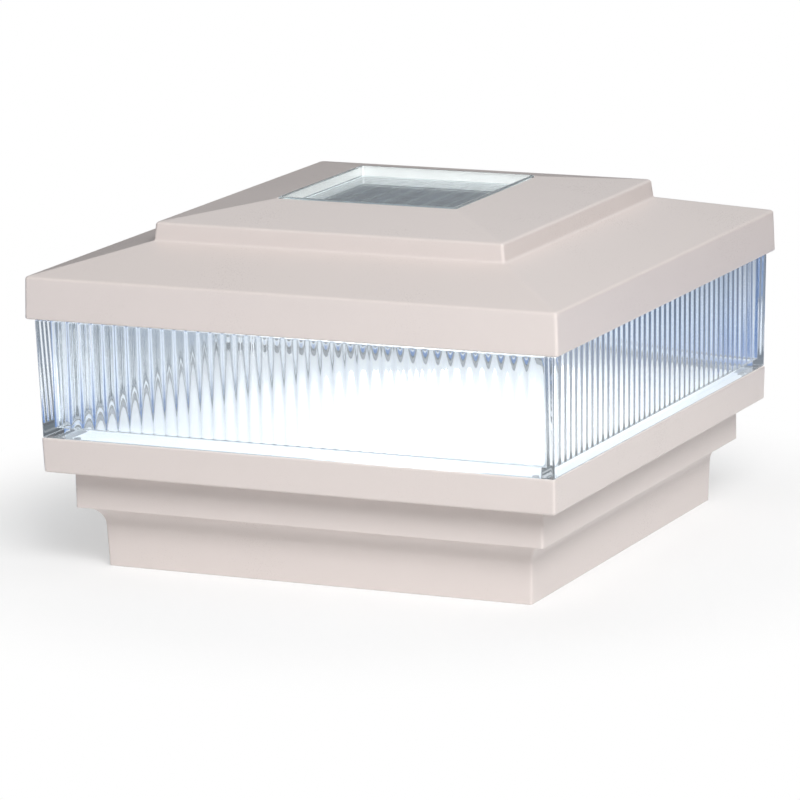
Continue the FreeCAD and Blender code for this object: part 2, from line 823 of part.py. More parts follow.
def reflector_floor():
    """White floor: a plate inside the lens foot, a flange under it and posts down to the base."""
    outside = moulding("floor_outside", [
        (tongue_half, flange_bottom),
        (tongue_half, tongue_bottom),
        (plate_half, tongue_bottom),
        (plate_half, floor_top),
    ])
    hollow = slab("floor_hollow", floor_inner, (flange_bottom - s.cut_over, floor_bottom))
    tray = cut("floor_tray", outside, hollow)
    clear = tongue_half - s.lens_inset - s.foot_lug_reach - s.fit_gap
    notches = []
    pads = []
    for index, signs in enumerate(CORNERS):
        wide = [sorted((side * clear, side * (plate_half + s.cut_over)), key=float) for side in signs]
        narrow = [sorted((side * clear, side * (floor_inner + s.fit_gap)), key=float)
                  for side in signs]
        notches.append(block(f"floor_notch_{index}", wide[0], wide[1],
                             (tongue_bottom, floor_top + s.cut_over)))
        pads.append(block(f"floor_pad_{index}", narrow[0], narrow[1],
                          (flange_bottom, tongue_bottom)))
    posts = at_corners(lambda index, x, y: rod(
        f"floor_post_{index}", s.floor_post_radius, (boss_top, floor_bottom), x, y),
        s.base_screw_place)
    ear_top = floor_bottom - s.ear_drop
    ear_posts = [rod(f"ear_post_{index}", s.ear_post_radius, (ear_top, floor_bottom), x, y)
                 for index, (x, y) in enumerate(corner_spots(ear_place, s.ear_side))]
    solid = fuse("floor_blank", cut("floor_notched", tray, *notches), *pads, *posts, *ear_posts)
    pilots = at_corners(lambda index, x, y: rod(
        f"floor_pilot_{index}", s.screw_radius + s.thread_gap,
        (boss_top - s.cut_over, base_screw_seat() + s.base_screw_length + s.fit_gap), x, y),
        s.base_screw_place)
    ear_pilots = [rod(f"ear_pilot_{index}", s.small_radius + s.thread_gap,
                      (ear_top - s.cut_over,
                       ear_top - s.ear_thick + s.ear_screw_length + s.fit_gap), x, y)
                  for index, (x, y) in enumerate(corner_spots(ear_place, s.ear_side))]
    lens_holes = at_corners(lambda index, x, y: rod(
        f"floor_lens_hole_{index}", s.small_radius + s.hole_gap,
        (flange_bottom - s.cut_over, tongue_bottom + s.cut_over), x, y), lens_screw_place())
    through = (floor_bottom - s.cut_over, floor_top + s.cut_over)
    led_holes = [rod(f"floor_led_hole_{index}", radius, through, x, y)
                 for index, (radius, x, y) in enumerate(roof_holes())]
    peg_holes = [rod(f"floor_peg_hole_{index}", s.dome_peg_radius + s.hole_gap, through, x, y)
                 for index, (x, y) in enumerate(peg_spots())]
    node("reflector_floor", cut(
        "floor", solid, sleeve_hole("floor_lead_hole", through),
        *pilots, *ear_pilots, *lens_holes, *led_holes, *peg_holes))
    screws("base_screws", LARGE, corner_spots(s.base_screw_place, s.base_screw_place),
           base_screw_seat(), s.base_screw_length)
    screws("lens_screws", SMALL, corner_spots(lens_screw_place(), lens_screw_place()),
           flange_bottom, s.lens_screw_length)


def roof_holes():
    """Radius and place of the holes that the floor shares with the roof of the module case."""
    lead_hole = s.lead_radius + s.hole_gap
    screw_hole = s.small_radius + s.thread_gap
    return [(lead_hole, s.led_lead_place, pcb_y), (lead_hole, -s.led_lead_place, pcb_y),
            (screw_hole, s.led_screw_place, ZERO),
            (screw_hole, -s.led_screw_place, ZERO)]


# ---------------------------------------------------------------- light


def peg_spots():
    """Where the dome's locating pegs stand, in the middle of its flange."""
    ring = s.dome_radius + s.dome_flange / 2
    return [(ring * round(math.cos(math.radians(angle)), 6),
             ring * round(math.sin(math.radians(angle)), 6)) for angle in (45, 165, 285)]


def light():
    """Round metal-core board with its emitters, under a low frosted dome."""
    board_z = (floor_top, floor_top + s.board_thick)
    board = rod("led_board_blank", s.led_board_radius, board_z)
    through = (board_z[0] - s.cut_over, board_z[1] + s.cut_over)
    holes = [rod(f"led_board_hole_{index}", radius, through, x, y)
             for index, (radius, x, y) in enumerate(roof_holes())]
    node("led_board", cut("led_board_cut", board, *holes))
    emitters = []
    for index in range(LED_COUNT):
        angle = math.radians(360 / LED_COUNT * (index + 0.5))
        x = s.led_ring_radius * round(math.cos(angle), 6)
        y = s.led_ring_radius * round(math.sin(angle), 6)
        emitters.append(block(f"emitter_{index}", (x - s.led_size / 2, x + s.led_size / 2),
                              (y - s.led_size / 2, y + s.led_size / 2),
                              (board_z[1], board_z[1] + s.led_height)))
    node("led_emitters", group("emitters", emitters))
    upside = [screw(f"led_screw_{index}", SMALL, x, ZERO, ZERO,
                    s.led_screw_length)
              for index, x in enumerate((s.led_screw_place, -s.led_screw_place))]
    pair = group("led_screw_pair", upside)
    pair.Placement.Rotation = Rotation(Vector(0, 1, 0), 180)
    node("led_screws", place(pair, 0.0, 0.0, board_z[1]))

    shell = turned("dome_shell", dome_outline(), z=floor_top)
    pegs = [rod(f"dome_peg_{index}", s.dome_peg_radius,
                (floor_bottom + s.hole_gap, floor_top + s.dome_flange_thick / 2), x, y)
            for index, (x, y) in enumerate(peg_spots())]
    node("light_dome", fuse("dome", shell, *pegs))


def bend_radius(radius, rise):
    """Radius of the sphere that a cap of this radius and rise is cut from."""
    return (radius * radius + rise * rise) / (rise * 2)


def dome_outline():
    """Half section of the dome: two arcs that meet the axis square, and a flat flange."""
    inner_radius = s.dome_radius - s.dome_wall
    inner_rise = s.dome_rise - s.dome_wall
    flange_radius = s.dome_radius + s.dome_flange
    top = s.dome_flange_thick
    return [
        (ZERO, top + s.dome_rise),
        (s.dome_radius, top, bend_radius(s.dome_radius, s.dome_rise)),
        (flange_radius, top),
        (flange_radius, ZERO),
        (inner_radius, ZERO),
        (inner_radius, top),
        (ZERO, top + inner_rise, bend_radius(inner_radius, inner_rise), -1),
    ]


# ---------------------------------------------------------------- module case


def hinge_line():
    """The y and z of the battery door's hinge pin."""
    return s.hinge_inset - s.case_half, stop_z + s.hinge_rise


def lug_spans(gap=0.0):
    """Where along X the case's three hinge lugs stand, each widened by gap."""
    end = case_inner - s.end_lug
    return [(-case_inner, -end + gap), (-s.middle_lug_half - gap, s.middle_lug_half + gap),
            (end - gap, case_inner)]


def module_case():
    """Open-bottomed case: a bay for two cells, a bay for the board, ears and hinge lugs."""
    case_z = (case_bottom, floor_bottom)
    box = slab("case_box", s.case_half, case_z)
    space = slab("case_space", case_inner, (case_bottom - s.cut_over, case_ceiling))
    hinge_y, hinge_z = hinge_line()
    lug_back = hinge_y + s.barrel_radius
    lug_top = hinge_z + s.barrel_radius + s.fit_gap * 2
    slot = block("case_hinge_slot", (-case_inner, case_inner),
                 (-s.case_half - s.cut_over, lug_back), (case_bottom - s.cut_over, lug_top))
    shell = cut("case_shell", box, space, slot)
    added = []
    for index, span in enumerate(lug_spans()):
        added.append(bar(f"case_lug_{index}", s.barrel_radius, span, hinge_y, hinge_z))
        added.append(block(f"case_lug_root_{index}", span, (-s.case_half, lug_back - s.fit_gap),
                           (hinge_z, lug_top + s.fit_gap)))
    inner_top = case_ceiling + s.case_roof / 2
    inside = case_inner + s.case_wall / 2
    added.append(block("case_partition", (-bay_half - s.bulkhead_thick, inside),
                       (partition_near, partition_far), (case_bottom, inner_top)))
    for side, name in ((-1, "left"), (1, "right")):
        span = sorted((bay_half * side, (bay_half + s.bulkhead_thick) * side), key=float)
        added.append(block(f"case_bulkhead_{name}", span, (-inside, partition_near),
                           (door_top + s.fit_gap, inner_top)))
    middle = (cell_y[0] + cell_y[1]) / 2
    rib_half = bay_half - s.spring_room
    added.append(block("case_cell_rib", (-rib_half, rib_half),
                       (middle - s.latch_thick / 2, middle + s.latch_thick / 2),
                       (cell_z + s.cell_radius / 2, inner_top)))
    ear_top = floor_bottom - s.ear_drop
    ear_z = (ear_top - s.ear_thick, ear_top)
    for index, (x, y) in enumerate(corner_spots(ear_place, s.ear_side)):
        side = CORNERS[index][0]
        span = sorted((inside * side, (ear_place + s.ear_half) * side), key=float)
        added.append(block(f"case_ear_{index}", span, (y - s.ear_half, y + s.ear_half), ear_z))
    for side in (-1, 1):
        added.append(rod(f"case_standoff_{side + 1}", s.standoff_radius, (pcb_top, inner_top),
                         s.standoff_place * side, pcb_y))
        added.append(rod(f"case_service_post_{side + 1}", s.service_post_radius,
                         (door_top, inner_top), service_post_place * side, pcb_y))
    taken = [bar("case_pin_hole", s.pin_radius + s.thread_gap / 5,
                 (-s.case_half - s.cut_over, s.case_half + s.cut_over), hinge_y, hinge_z)]
    through = (case_ceiling - s.cut_over, floor_bottom + s.cut_over)
    taken += [rod(f"case_led_hole_{index}", radius, through, x, y)
              for index, (radius, x, y) in enumerate(roof_holes())]
    taken += [rod(f"case_ear_hole_{index}", s.small_radius + s.hole_gap,
                  (ear_z[0] - s.cut_over, ear_z[1] + s.cut_over), x, y)
              for index, (x, y) in enumerate(corner_spots(ear_place, s.ear_side))]
    for side in (-1, 1):
        taken.append(rod(f"case_pcb_pilot_{side + 1}", s.small_radius + s.thread_gap,
                         (pcb_top - s.cut_over, pcb_bottom + s.pcb_screw_length + s.fit_gap),
                         s.standoff_place * side, pcb_y))
        taken.append(rod(f"case_service_pilot_{side + 1}", s.small_radius + s.thread_gap,
                         (door_top - s.cut_over, door_bottom + s.service_screw_length + s.fit_gap
                          + s.small_head_height),
                         service_post_place * side, pcb_y))
    taken.append(grommet_hole())
    for index, y in enumerate(cell_y):
        taken.append(block(f"case_tab_slot_{index}", (-bay_half - s.bulkhead_thick - s.fit_gap,
                                                      s.fit_gap - bay_half),
                           tab_span(y, s.fit_gap / 2), tab_height(index, s.fit_gap / 2)))
    node("module_case", cut("case", fuse("case_blank", shell, *added), *taken))
    screws("module_screws", SMALL, corner_spots(ear_place, s.ear_side), ear_z[0],
           s.ear_screw_length)


def tab_span(y, gap):
    """How far a contact's solder tab reaches to either side of its cell's axis."""
    half = s.ribbon_width + gap
    return (y - half, y + half)


def tab_height(index, gap):
    """The low and high faces of a contact's solder tab; the two tabs differ in height."""
    low = cell_z + s.lead_radius * 4 * (1 - index)
    return (low - gap, low + s.contact_thick + gap)


def grommet_hole():
    """The round hole in the case's back wall that the grommet sits in."""
    hole = doc.addObject("Part::Cylinder", "case_grommet_hole")
    hole.Placement.Rotation = Rotation(Vector(1, 0, 0), -90)
    tie(hole, "Radius", s.grommet_neck + s.fit_gap / 6)
    tie(hole, "Height", s.case_wall + s.cut_over * 2)
    return place(hole, -s.grommet_x, case_inner - s.cut_over, grommet_z())


def grommet_z():
    return cell_z + s.cell_gap * 4


# ---------------------------------------------------------------- battery bay


def battery_door():
    """Snap-in door under the cells: a plate, two hinge barrels and a latch tongue."""
    hinge_y, hinge_z = hinge_line()
    half = case_inner - s.fit_gap
    far = partition_near - s.fit_gap * 4 / 3
    plate = block("door_plate", (-half, half), (hinge_y, far), (door_bottom, door_top))
    gap = s.fit_gap
    notches = [block(f"door_notch_{index}", (span[0] - s.cut_over * (index == 0),
                                             span[1] + s.cut_over * (index == 2)),
                     (hinge_y - s.cut_over, hinge_y + s.barrel_radius + gap),
                     (door_bottom - s.cut_over, door_top + s.cut_over))
               for index, span in enumerate(lug_spans(gap))]
    spans = lug_spans(gap)
    barrels = [bar(f"door_barrel_{index}", s.barrel_radius, span, hinge_y, hinge_z)
               for index, span in enumerate(((spans[0][1], spans[1][0]),
                                             (spans[1][1], spans[2][0])))]
    tongue_far = far - s.fit_gap
    tongue = block("door_tongue", (-s.latch_half, s.latch_half),
                   (tongue_far - s.latch_thick, tongue_far),
                   (door_top - s.fit_gap, door_top + s.latch_height))
    grip = block("door_grip", (-s.latch_half * 1.5, s.latch_half * 1.5),
                 (far - s.latch_height * 1.4, far - s.latch_height * 0.6),
                 (door_bottom - s.cut_over, door_bottom + s.door_thick * 0.4))
    bore = bar("door_bore", s.pin_radius + s.running_gap, (-case_inner, case_inner),
               hinge_y, hinge_z)
    leaf = cut("door_leaf", plate, *notches)
    node("battery_door", cut("door", fuse("door_blank", leaf, *barrels, tongue), grip, bore))
    node("door_pin", bar("pin", s.pin_radius, (-s.case_half + s.fit_gap, s.case_half - s.fit_gap),
                         hinge_y, hinge_z))


def cell(label, y, way):
    """A cylindrical cell with its raised positive end towards +X (way 1) or -X (way -1)."""
    tip = (bay_half - s.contact_thick) * way
    shoulder = tip - s.nub_length * way
    base = tip - s.cell_length * way
    can = bar(f"{label}_can", s.cell_radius, sorted((shoulder, base), key=float), y, cell_z)
    nub = bar(f"{label}_nub", s.nub_radius, sorted((shoulder, tip), key=float), y, cell_z)
    node(label, fuse(f"{label}_whole", can, nub))


def contact_block(name, side, y):
    """The upright plate of a contact, against the bulkhead on one side of the bay."""
    span = sorted((bay_half * side, (bay_half - s.contact_thick) * side), key=float)
    half = s.contact_width / 2
    return block(name, span, (y[0] - half, y[1] + half),
                 (cell_z - s.contact_height / 2, cell_z + s.contact_height / 2))


def contacts():
    """Link plate at one end of the cells, and a plate with a solder tab for each lead."""
    node("link_contact", contact_block("link_plate", 1, (cell_y[0], cell_y[1])))
    for index, label in enumerate(("minus_contact", "plus_contact")):
        y = cell_y[index]
        plate = contact_block(f"{label}_plate", -1, (y, y))
        tab = block(f"{label}_tab", (-bay_half - s.bulkhead_thick - s.contact_thick * 2, -bay_half),
                    tab_span(y, 0.0), tab_height(index, 0.0))
        node(label, fuse(f"{label}_whole", plate, tab))


def spring(name, y, way):
    """A coil between a contact plate and the flat end of a cell.

    Its path is two arcs for each quarter turn, tangent to the helix at every quarter.
    """
    radius = float(s.spring_radius)
    room = float(s.spring_room) - 2 * float(s.spring_wire_radius) - 0.2
    quarters = int(4 * float(s.spring_turns))
    rise = room / quarters
    begin = float(bay_half - s.contact_thick) - float(s.spring_wire_radius) - 0.1
    axis_y = float(y)
    axis_z = float(cell_z)

    def spot(index):
        angle = math.pi / 2 * index
        return Vector(way * (begin - rise * index), axis_y + radius * math.cos(angle),
                      axis_z + radius * math.sin(angle))

    def heading(index):
        angle = math.pi / 2 * index
        return Vector(-way * rise * 2 / math.pi, -radius * math.sin(angle),
                      radius * math.cos(angle)).normalize()

    edges = []
    for index in range(quarters):
        start, end = spot(index), spot(index + 1)
        way_in, way_out = heading(index), heading(index + 1)
        chord = end - start
        both = way_in + way_out
        spread = 2 * (1 - way_in.dot(way_out))
        reach = (math.sqrt(chord.dot(both) ** 2 + spread * chord.dot(chord))
                 - chord.dot(both)) / spread
        joint = (start + way_in * reach + end - way_out * reach) * 0.5
        edges.append(tangent_arc(start, way_in, joint).toShape())
        middle_way = ((end - way_out * reach) - (start + way_in * reach)).normalize()
        edges.append(tangent_arc(joint, middle_way, end).toShape())
    ring = Part.Wire(Part.makeCircle(float(s.spring_wire_radius), spot(0), heading(0)))
    coil = doc.addObject("Part::Feature", name)
    coil.Shape = Part.Wire(edges).makePipeShell([ring], True, False)
    gap = rise * 4 - 2 * float(s.spring_wire_radius)
    print(f"{name}: {quarters / 4} turns, gap between turns {gap:.2f} mm")
    return coil


# ---------------------------------------------------------------- board bay


def service_plate():
    """Fixed plate under the board, with two flush screws and a slot for the switch."""
    half = case_inner - s.fit_gap
    near = partition_far + s.fit_gap
    plate = block("service_blank", (-half, half), (near, half), (door_bottom, door_top))
    slot_half = (s.knob_length + s.switch_travel) / 2 + s.fit_gap
    slot_side = s.knob_width / 2 + s.fit_gap
    slot = block("service_slot", (s.switch_x - slot_half, s.switch_x + slot_half),
                 (pcb_y - slot_side, pcb_y + slot_side),
                 (door_bottom - s.cut_over, door_top + s.cut_over))
    dish = block("service_dish", (s.switch_x - slot_half * 1.8, s.switch_x + slot_half * 1.8),
                 (pcb_y - slot_side * 2.4, pcb_y + slot_side * 2.4),
                 (door_bottom - s.cut_over, door_bottom + s.door_thick * 0.4))
    holes = [rod(f"service_hole_{side + 1}", s.small_radius + s.hole_gap,
                 (door_bottom - s.cut_over, door_top + s.cut_over), service_post_place * side,
                 pcb_y) for side in (-1, 1)]
    sinks = []
    for side in (-1, 1):
        sink = doc.addObject("Part::Cone", f"service_sink_{side + 1}")
        tie(sink, "Radius1", s.small_head_radius + s.thread_gap)
        tie(sink, "Radius2", s.small_radius + s.thread_gap)
        tie(sink, "Height", s.small_head_height)
        sinks.append(place(sink, service_post_place * side, pcb_y, door_bottom))
    node("service_plate", cut("service", plate, slot, dish, *holes, *sinks))
    screws("service_screws", SMALL,
           [(service_post_place * side, pcb_y) for side in (-1, 1)],
           door_bottom + s.small_head_height, s.service_screw_length, flat=True)


def board_parts():
    """Control board on two standoffs, with the parts that it carries."""
    z = (pcb_bottom, pcb_top)
    board = block("pcb_blank", (-s.pcb_half_x, s.pcb_half_x),
                  (pcb_y - s.pcb_half_y, pcb_y + s.pcb_half_y), z)
    holes = [rod(f"pcb_hole_{side + 1}", s.small_radius + s.hole_gap,
                 (z[0] - s.cut_over, z[1] + s.cut_over), s.standoff_place * side, pcb_y)
             for side in (-1, 1)]
    node("circuit_board", cut("pcb", board, *holes))
    screws("board_screws", SMALL, [(s.standoff_place * side, pcb_y) for side in (-1, 1)],
           pcb_bottom, s.pcb_screw_length)

    body_z = (pcb_bottom - s.switch_height, pcb_bottom)
    frame = block("switch_frame", (s.switch_x - s.switch_length / 2, s.switch_x + s.switch_length / 2),
                  (pcb_y - s.switch_width / 2, pcb_y + s.switch_width / 2), body_z)
    room = (s.knob_length + s.switch_travel) / 2 + s.fit_gap
    side = s.knob_width / 2 + s.fit_gap
    depth = s.switch_height * 0.45
    pocket = block("switch_pocket", (s.switch_x - room, s.switch_x + room),
                   (pcb_y - side, pcb_y + side), (body_z[0] - s.cut_over, body_z[0] + depth))
    node("switch_body", cut("switch", frame, pocket))
    left = s.switch_x - s.switch_travel / 2 - s.knob_length / 2
    node("switch_knob", block("knob", (left, left + s.knob_length),
                              (pcb_y - s.knob_width / 2, pcb_y + s.knob_width / 2),
                              (door_bottom + s.knob_inset, body_z[0] + depth - s.fit_gap)))

    chip_x = -s.chip_length * 2.4
    body = block("chip_body", (chip_x - s.chip_length / 2, chip_x + s.chip_length / 2),
                 (pcb_y - s.chip_width / 2, pcb_y + s.chip_width / 2),
                 (pcb_top + s.thread_gap, pcb_top + s.chip_height))
    legs = []
    pitch = s.chip_length / 4
    for index in range(4):
        x = chip_x + pitch * (index - 1.5)
        for side in (-1, 1):
            span = sorted((pcb_y + s.chip_width * 0.4 * side, pcb_y + s.chip_width * 0.75 * side),
                          key=float)
            legs.append(block(f"chip_leg_{index}_{side + 1}", (x - pitch / 6, x + pitch / 6),
                              span, (pcb_top, pcb_top + s.chip_height / 4)))
    node("driver_chip", fuse("chip", body, *legs))

    drum_x = s.drum_radius * 3.4
    drum_y = pcb_y - s.pcb_half_y / 2
    neck = s.drum_radius * 0.45
    top = s.drum_height
    node("inductor_core", turned("drum", [
        (ZERO, ZERO),
        (s.drum_radius, ZERO),
        (s.drum_radius, s.drum_flange),
        (neck, s.drum_flange),
        (neck, top - s.drum_flange),
        (s.drum_radius, top - s.drum_flange),
        (s.drum_radius, top),
        (ZERO, top),
    ], drum_x, drum_y, pcb_top))
    wide = s.drum_radius - s.winding_inset
    node("inductor_winding", turned("winding", [
        (neck, s.drum_flange),
        (wide, s.drum_flange),
        (wide, top - s.drum_flange),
        (neck, top - s.drum_flange),
    ], drum_x, drum_y, pcb_top))
    groove = s.can_radius * 0.12
    node("capacitor", turned("can", [
        (ZERO, ZERO),
        (s.can_radius, ZERO),
        (s.can_radius, s.can_height * 0.16),
        (s.can_radius - groove, s.can_height * 0.2),
        (s.can_radius, s.can_height * 0.24),
        (s.can_radius, s.can_height - groove),
        (s.can_radius - groove, s.can_height),
        (ZERO, s.can_height),
    ], drum_x, pcb_y + s.pcb_half_y / 2, pcb_top))


# ---------------------------------------------------------------- leads


def lead_parts():
    """Sleeve in the back corner, grommet, and the leads from panel, cells and light."""
    sleeve_z = (floor_bottom - s.cut_over, ceiling_z[0] - s.fit_gap)
    tube = rod("sleeve_blank", s.sleeve_radius, sleeve_z, -s.sleeve_x, s.sleeve_y)
    bore = rod("sleeve_bore_space", s.sleeve_bore, (sleeve_z[0] - s.cut_over,
                                                    sleeve_z[1] + s.cut_over),
               -s.sleeve_x, s.sleeve_y)
    node("wire_sleeve", cut("sleeve", tube, bore))

    half_wall = s.case_wall / 2
    inside = s.lead_split + s.lead_radius + s.fit_gap
    ring = turned("grommet_ring", [
        (inside, -half_wall - s.grommet_lip),
        (s.grommet_radius, -half_wall - s.grommet_lip),
        (s.grommet_radius, -half_wall),
        (s.grommet_neck, -half_wall),
        (s.grommet_neck, half_wall),
        (s.grommet_radius, half_wall),
        (s.grommet_radius, half_wall + s.grommet_lip),
        (inside, half_wall + s.grommet_lip),
    ])
    ring.Placement.Rotation = Rotation(Vector(1, 0, 0), -90)
    node("wire_grommet", place(ring, -s.grommet_x, s.case_half - half_wall, grommet_z()))

    ceiling_top = ceiling_z[1]
    pad_z = retainer_top()
    low = grommet_z()
    for side, colour in ((-1, "red"), (1, "black")):
        off_x = s.lead_split * side
        off_y = off_x * 0.8
        x = off_x - s.sleeve_x
        y = off_y + s.sleeve_y
        entry = off_x - s.grommet_x
        lead(f"solar_lead_{colour}", [
            (off_x - 8.0, off_y + 4.0, pad_z),
            (off_x - 8.0, off_y + 4.0, pad_z - 6.0),
            (off_x - 26.0, off_y + 22.0, ceiling_top + 8.0),
            (off_x - 44.0, off_y + 44.0, ceiling_top + 5.5),
            (x + 8.0, y - 11.0, ceiling_top + 4.0),
            (x, y, ceiling_top + 3.6),
            (x, y, low + 1.0),
            (x + 13.0, y - 9.0, low - 0.5),
            (entry - 3.0, off_y + s.case_half + 13.0, low),
            (entry, off_y + s.case_half + 3.0, low),
            (entry, pcb_y + 5.0, low),
            (entry, pcb_y + 5.0, pcb_top),
        ])
        lead(f"led_lead_{colour}", [(-s.led_lead_place * side, pcb_y, pcb_top),
                                    (-s.led_lead_place * side, pcb_y, floor_top)])
    for index, colour in enumerate(("black", "red")):
        tab = tab_height(index, 0.0)[1] + s.lead_radius + 0.05
        x = -bay_half - s.bulkhead_thick - s.contact_thick - s.lead_radius
        y = cell_y[index]
        lead(f"cell_lead_{colour}", [
            (x, y, tab),
            (x, partition_near + 1.5, tab),
            (x + 2.5, pcb_y - 8.0 + 3.0 * index, tab),
            (x + 8.0, pcb_y - 8.0 + 3.5 * index, tab),
            (x + 8.0, pcb_y - 8.0 + 3.5 * index, pcb_top),
        ])


def build():
    base_skirt()
    lens()
    roof_cap()
    window_parts()
    ceiling_reflector()
    reflector_floor()
    light()
    module_case()
    battery_door()
    cell("battery_1", cell_y[0], 1)
    cell("battery_2", cell_y[1], -1)
    contacts()
    node("contact_springs", group("springs", [spring("spring_left", cell_y[0], -1),
                                              spring("spring_right", cell_y[1], 1)]))
    service_plate()
    board_parts()
    lead_parts()


def check_and_write():
    """Stop on any failed object, then write each sub-part to its own file."""
    doc.recompute()
    for thing in doc.Objects:
        if "Invalid" in thing.State or "Error" in thing.State:
            raise RuntimeError(f"{thing.Name} failed: {thing.State}")
    os.makedirs("parts", exist_ok=True)
    for thing in nodes:
        shape = thing.Shape
        if shape.isNull() or not shape.isValid() or not shape.Solids:
            raise RuntimeError(f"{thing.Label} has no valid solid")
        shape.exportStep(f"parts/{thing.Label}.step")
        print(f"{thing.Label}: {len(shape.Solids)} solids, {shape.Volume:.1f} mm3")


build()
check_and_write()
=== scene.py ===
# %% [markdown]
# # A deck post cap light
#
# The lesson builds the looks of a square light that sits on a deck post: a stepped base, a clear
# reeded lens, a low lid with a raised tier, and a clear window over a solar panel. The first step
# loads the measured frame, a model in metres whose pieces already stand where they belong. The
# pieces made later take the place of six of its own and stay inside its box.

# %% Load the frame
import json
import math

import bmesh
import bpy
import numpy as np
from mathutils import Matrix, Vector


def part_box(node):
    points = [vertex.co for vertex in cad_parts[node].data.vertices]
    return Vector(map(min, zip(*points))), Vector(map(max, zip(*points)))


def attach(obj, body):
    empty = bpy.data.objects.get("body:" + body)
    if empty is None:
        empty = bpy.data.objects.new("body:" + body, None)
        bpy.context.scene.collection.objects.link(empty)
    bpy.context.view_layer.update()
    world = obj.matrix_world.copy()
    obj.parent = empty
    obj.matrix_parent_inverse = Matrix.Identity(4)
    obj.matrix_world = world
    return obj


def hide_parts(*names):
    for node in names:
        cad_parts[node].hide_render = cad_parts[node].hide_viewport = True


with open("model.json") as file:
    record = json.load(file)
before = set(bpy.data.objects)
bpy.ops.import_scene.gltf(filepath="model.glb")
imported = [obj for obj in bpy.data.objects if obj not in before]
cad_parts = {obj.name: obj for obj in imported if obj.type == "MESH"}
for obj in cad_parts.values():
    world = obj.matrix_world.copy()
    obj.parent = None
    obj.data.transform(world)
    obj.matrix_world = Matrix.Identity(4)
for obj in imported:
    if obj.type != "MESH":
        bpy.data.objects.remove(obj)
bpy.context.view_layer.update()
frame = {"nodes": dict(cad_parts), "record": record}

MM = 0.001
nodes = frame["nodes"]
print("nodes in the frame:", len(nodes))


def corner(name, axis, side):
    """One face of a node's box in millimetres: axis 0, 1 or 2, and side 0 for low or 1 for high."""
    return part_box(name)[side][axis] / MM


# %% [markdown]
# ## The camera
#
# A long lens looks at the light from a little above, 25 degrees round from its front. The far
# viewpoint keeps the two visible sides almost free of perspective, as in a catalogue picture. The
# camera is described by the way it looks back (azimuth and elevation), its roll, its distance and
# the small sideways shift that centres the light in the frame.

# %% Set the camera
AZIMUTH = math.radians(25.315)
ELEVATION = math.radians(12.302)
ROLL = math.radians(-1.345)
DISTANCE = 1505.9 * MM
SIDEWAYS = -4.526 * MM
RAISED = 38.96 * MM
FOCAL_WIDTHS = 5106.7 / 800
SENSOR = 36.0
FARTHEST = 20.0


def pointing(azimuth, elevation):
    """The direction that leaves the light at an angle round from its front and one upwards."""
    return Vector((math.sin(azimuth) * math.cos(elevation),
                   -math.cos(azimuth) * math.cos(elevation),
                   math.sin(elevation)))


back = pointing(AZIMUTH, ELEVATION)
level = Vector((math.cos(AZIMUTH), math.sin(AZIMUTH), 0.0))
upright = back.cross(level)
right = math.cos(ROLL) * level + math.sin(ROLL) * upright
up = math.cos(ROLL) * upright - math.sin(ROLL) * level
camera = bpy.data.objects.new("camera", bpy.data.cameras.new("camera"))
camera.data.sensor_width = SENSOR
camera.data.lens = SENSOR * FOCAL_WIDTHS
camera.data.clip_end = FARTHEST
camera.matrix_world = Matrix.Translation(back * DISTANCE + right * SIDEWAYS + up * RAISED) @ \
    Matrix((right, up, back)).transposed().to_4x4()
bpy.context.scene.collection.objects.link(camera)
bpy.context.scene.camera = camera
print(f"camera: {camera.data.lens:.1f} mm lens, {DISTANCE:.2f} m away")

# %% [markdown]
# ## Shader maths as plain expressions
#
# A finish is a small graph of nodes. Wiring it by hand is hard to read, so one class wraps a
# socket and overloads the operators: `1 - mask` adds the Math node itself. A second class holds a
# material while it is made, and its `node` method adds any other kind of node.

# %% Wrap sockets and materials


class Signal:
    """A value that varies over a surface: the output socket of a node."""

    def __init__(self, finish, socket):
        self.finish = finish
        self.socket = socket

    def beside(self, name):
        """Another output of the same node."""
        return Signal(self.finish, self.socket.node.outputs[name])

    def maths(self, operation, first, second=0.0):
        return self.finish.node("ShaderNodeMath", {"operation": operation}, {0: first, 1: second})

    def __add__(self, other):
        return self.maths("ADD", self, other)

    def __rsub__(self, other):
        return self.maths("SUBTRACT", other, self)

    def __mul__(self, other):
        return self.maths("MULTIPLY", self, other)

    def __abs__(self):
        return self.maths("ABSOLUTE", self)

    def most(self, other):
        """The larger of two signals."""
        return self.maths("MAXIMUM", self, other)

    def climb(self, low, high, curve="SMOOTHSTEP"):
        """Go from 0 to 1 while the signal goes from low to high."""
        return self.finish.node("ShaderNodeMapRange", {"interpolation_type": curve}, {
            "Value": self, "From Min": low, "From Max": high, "To Min": 0.0, "To Max": 1.0})

    __radd__ = __add__
    __rmul__ = __mul__


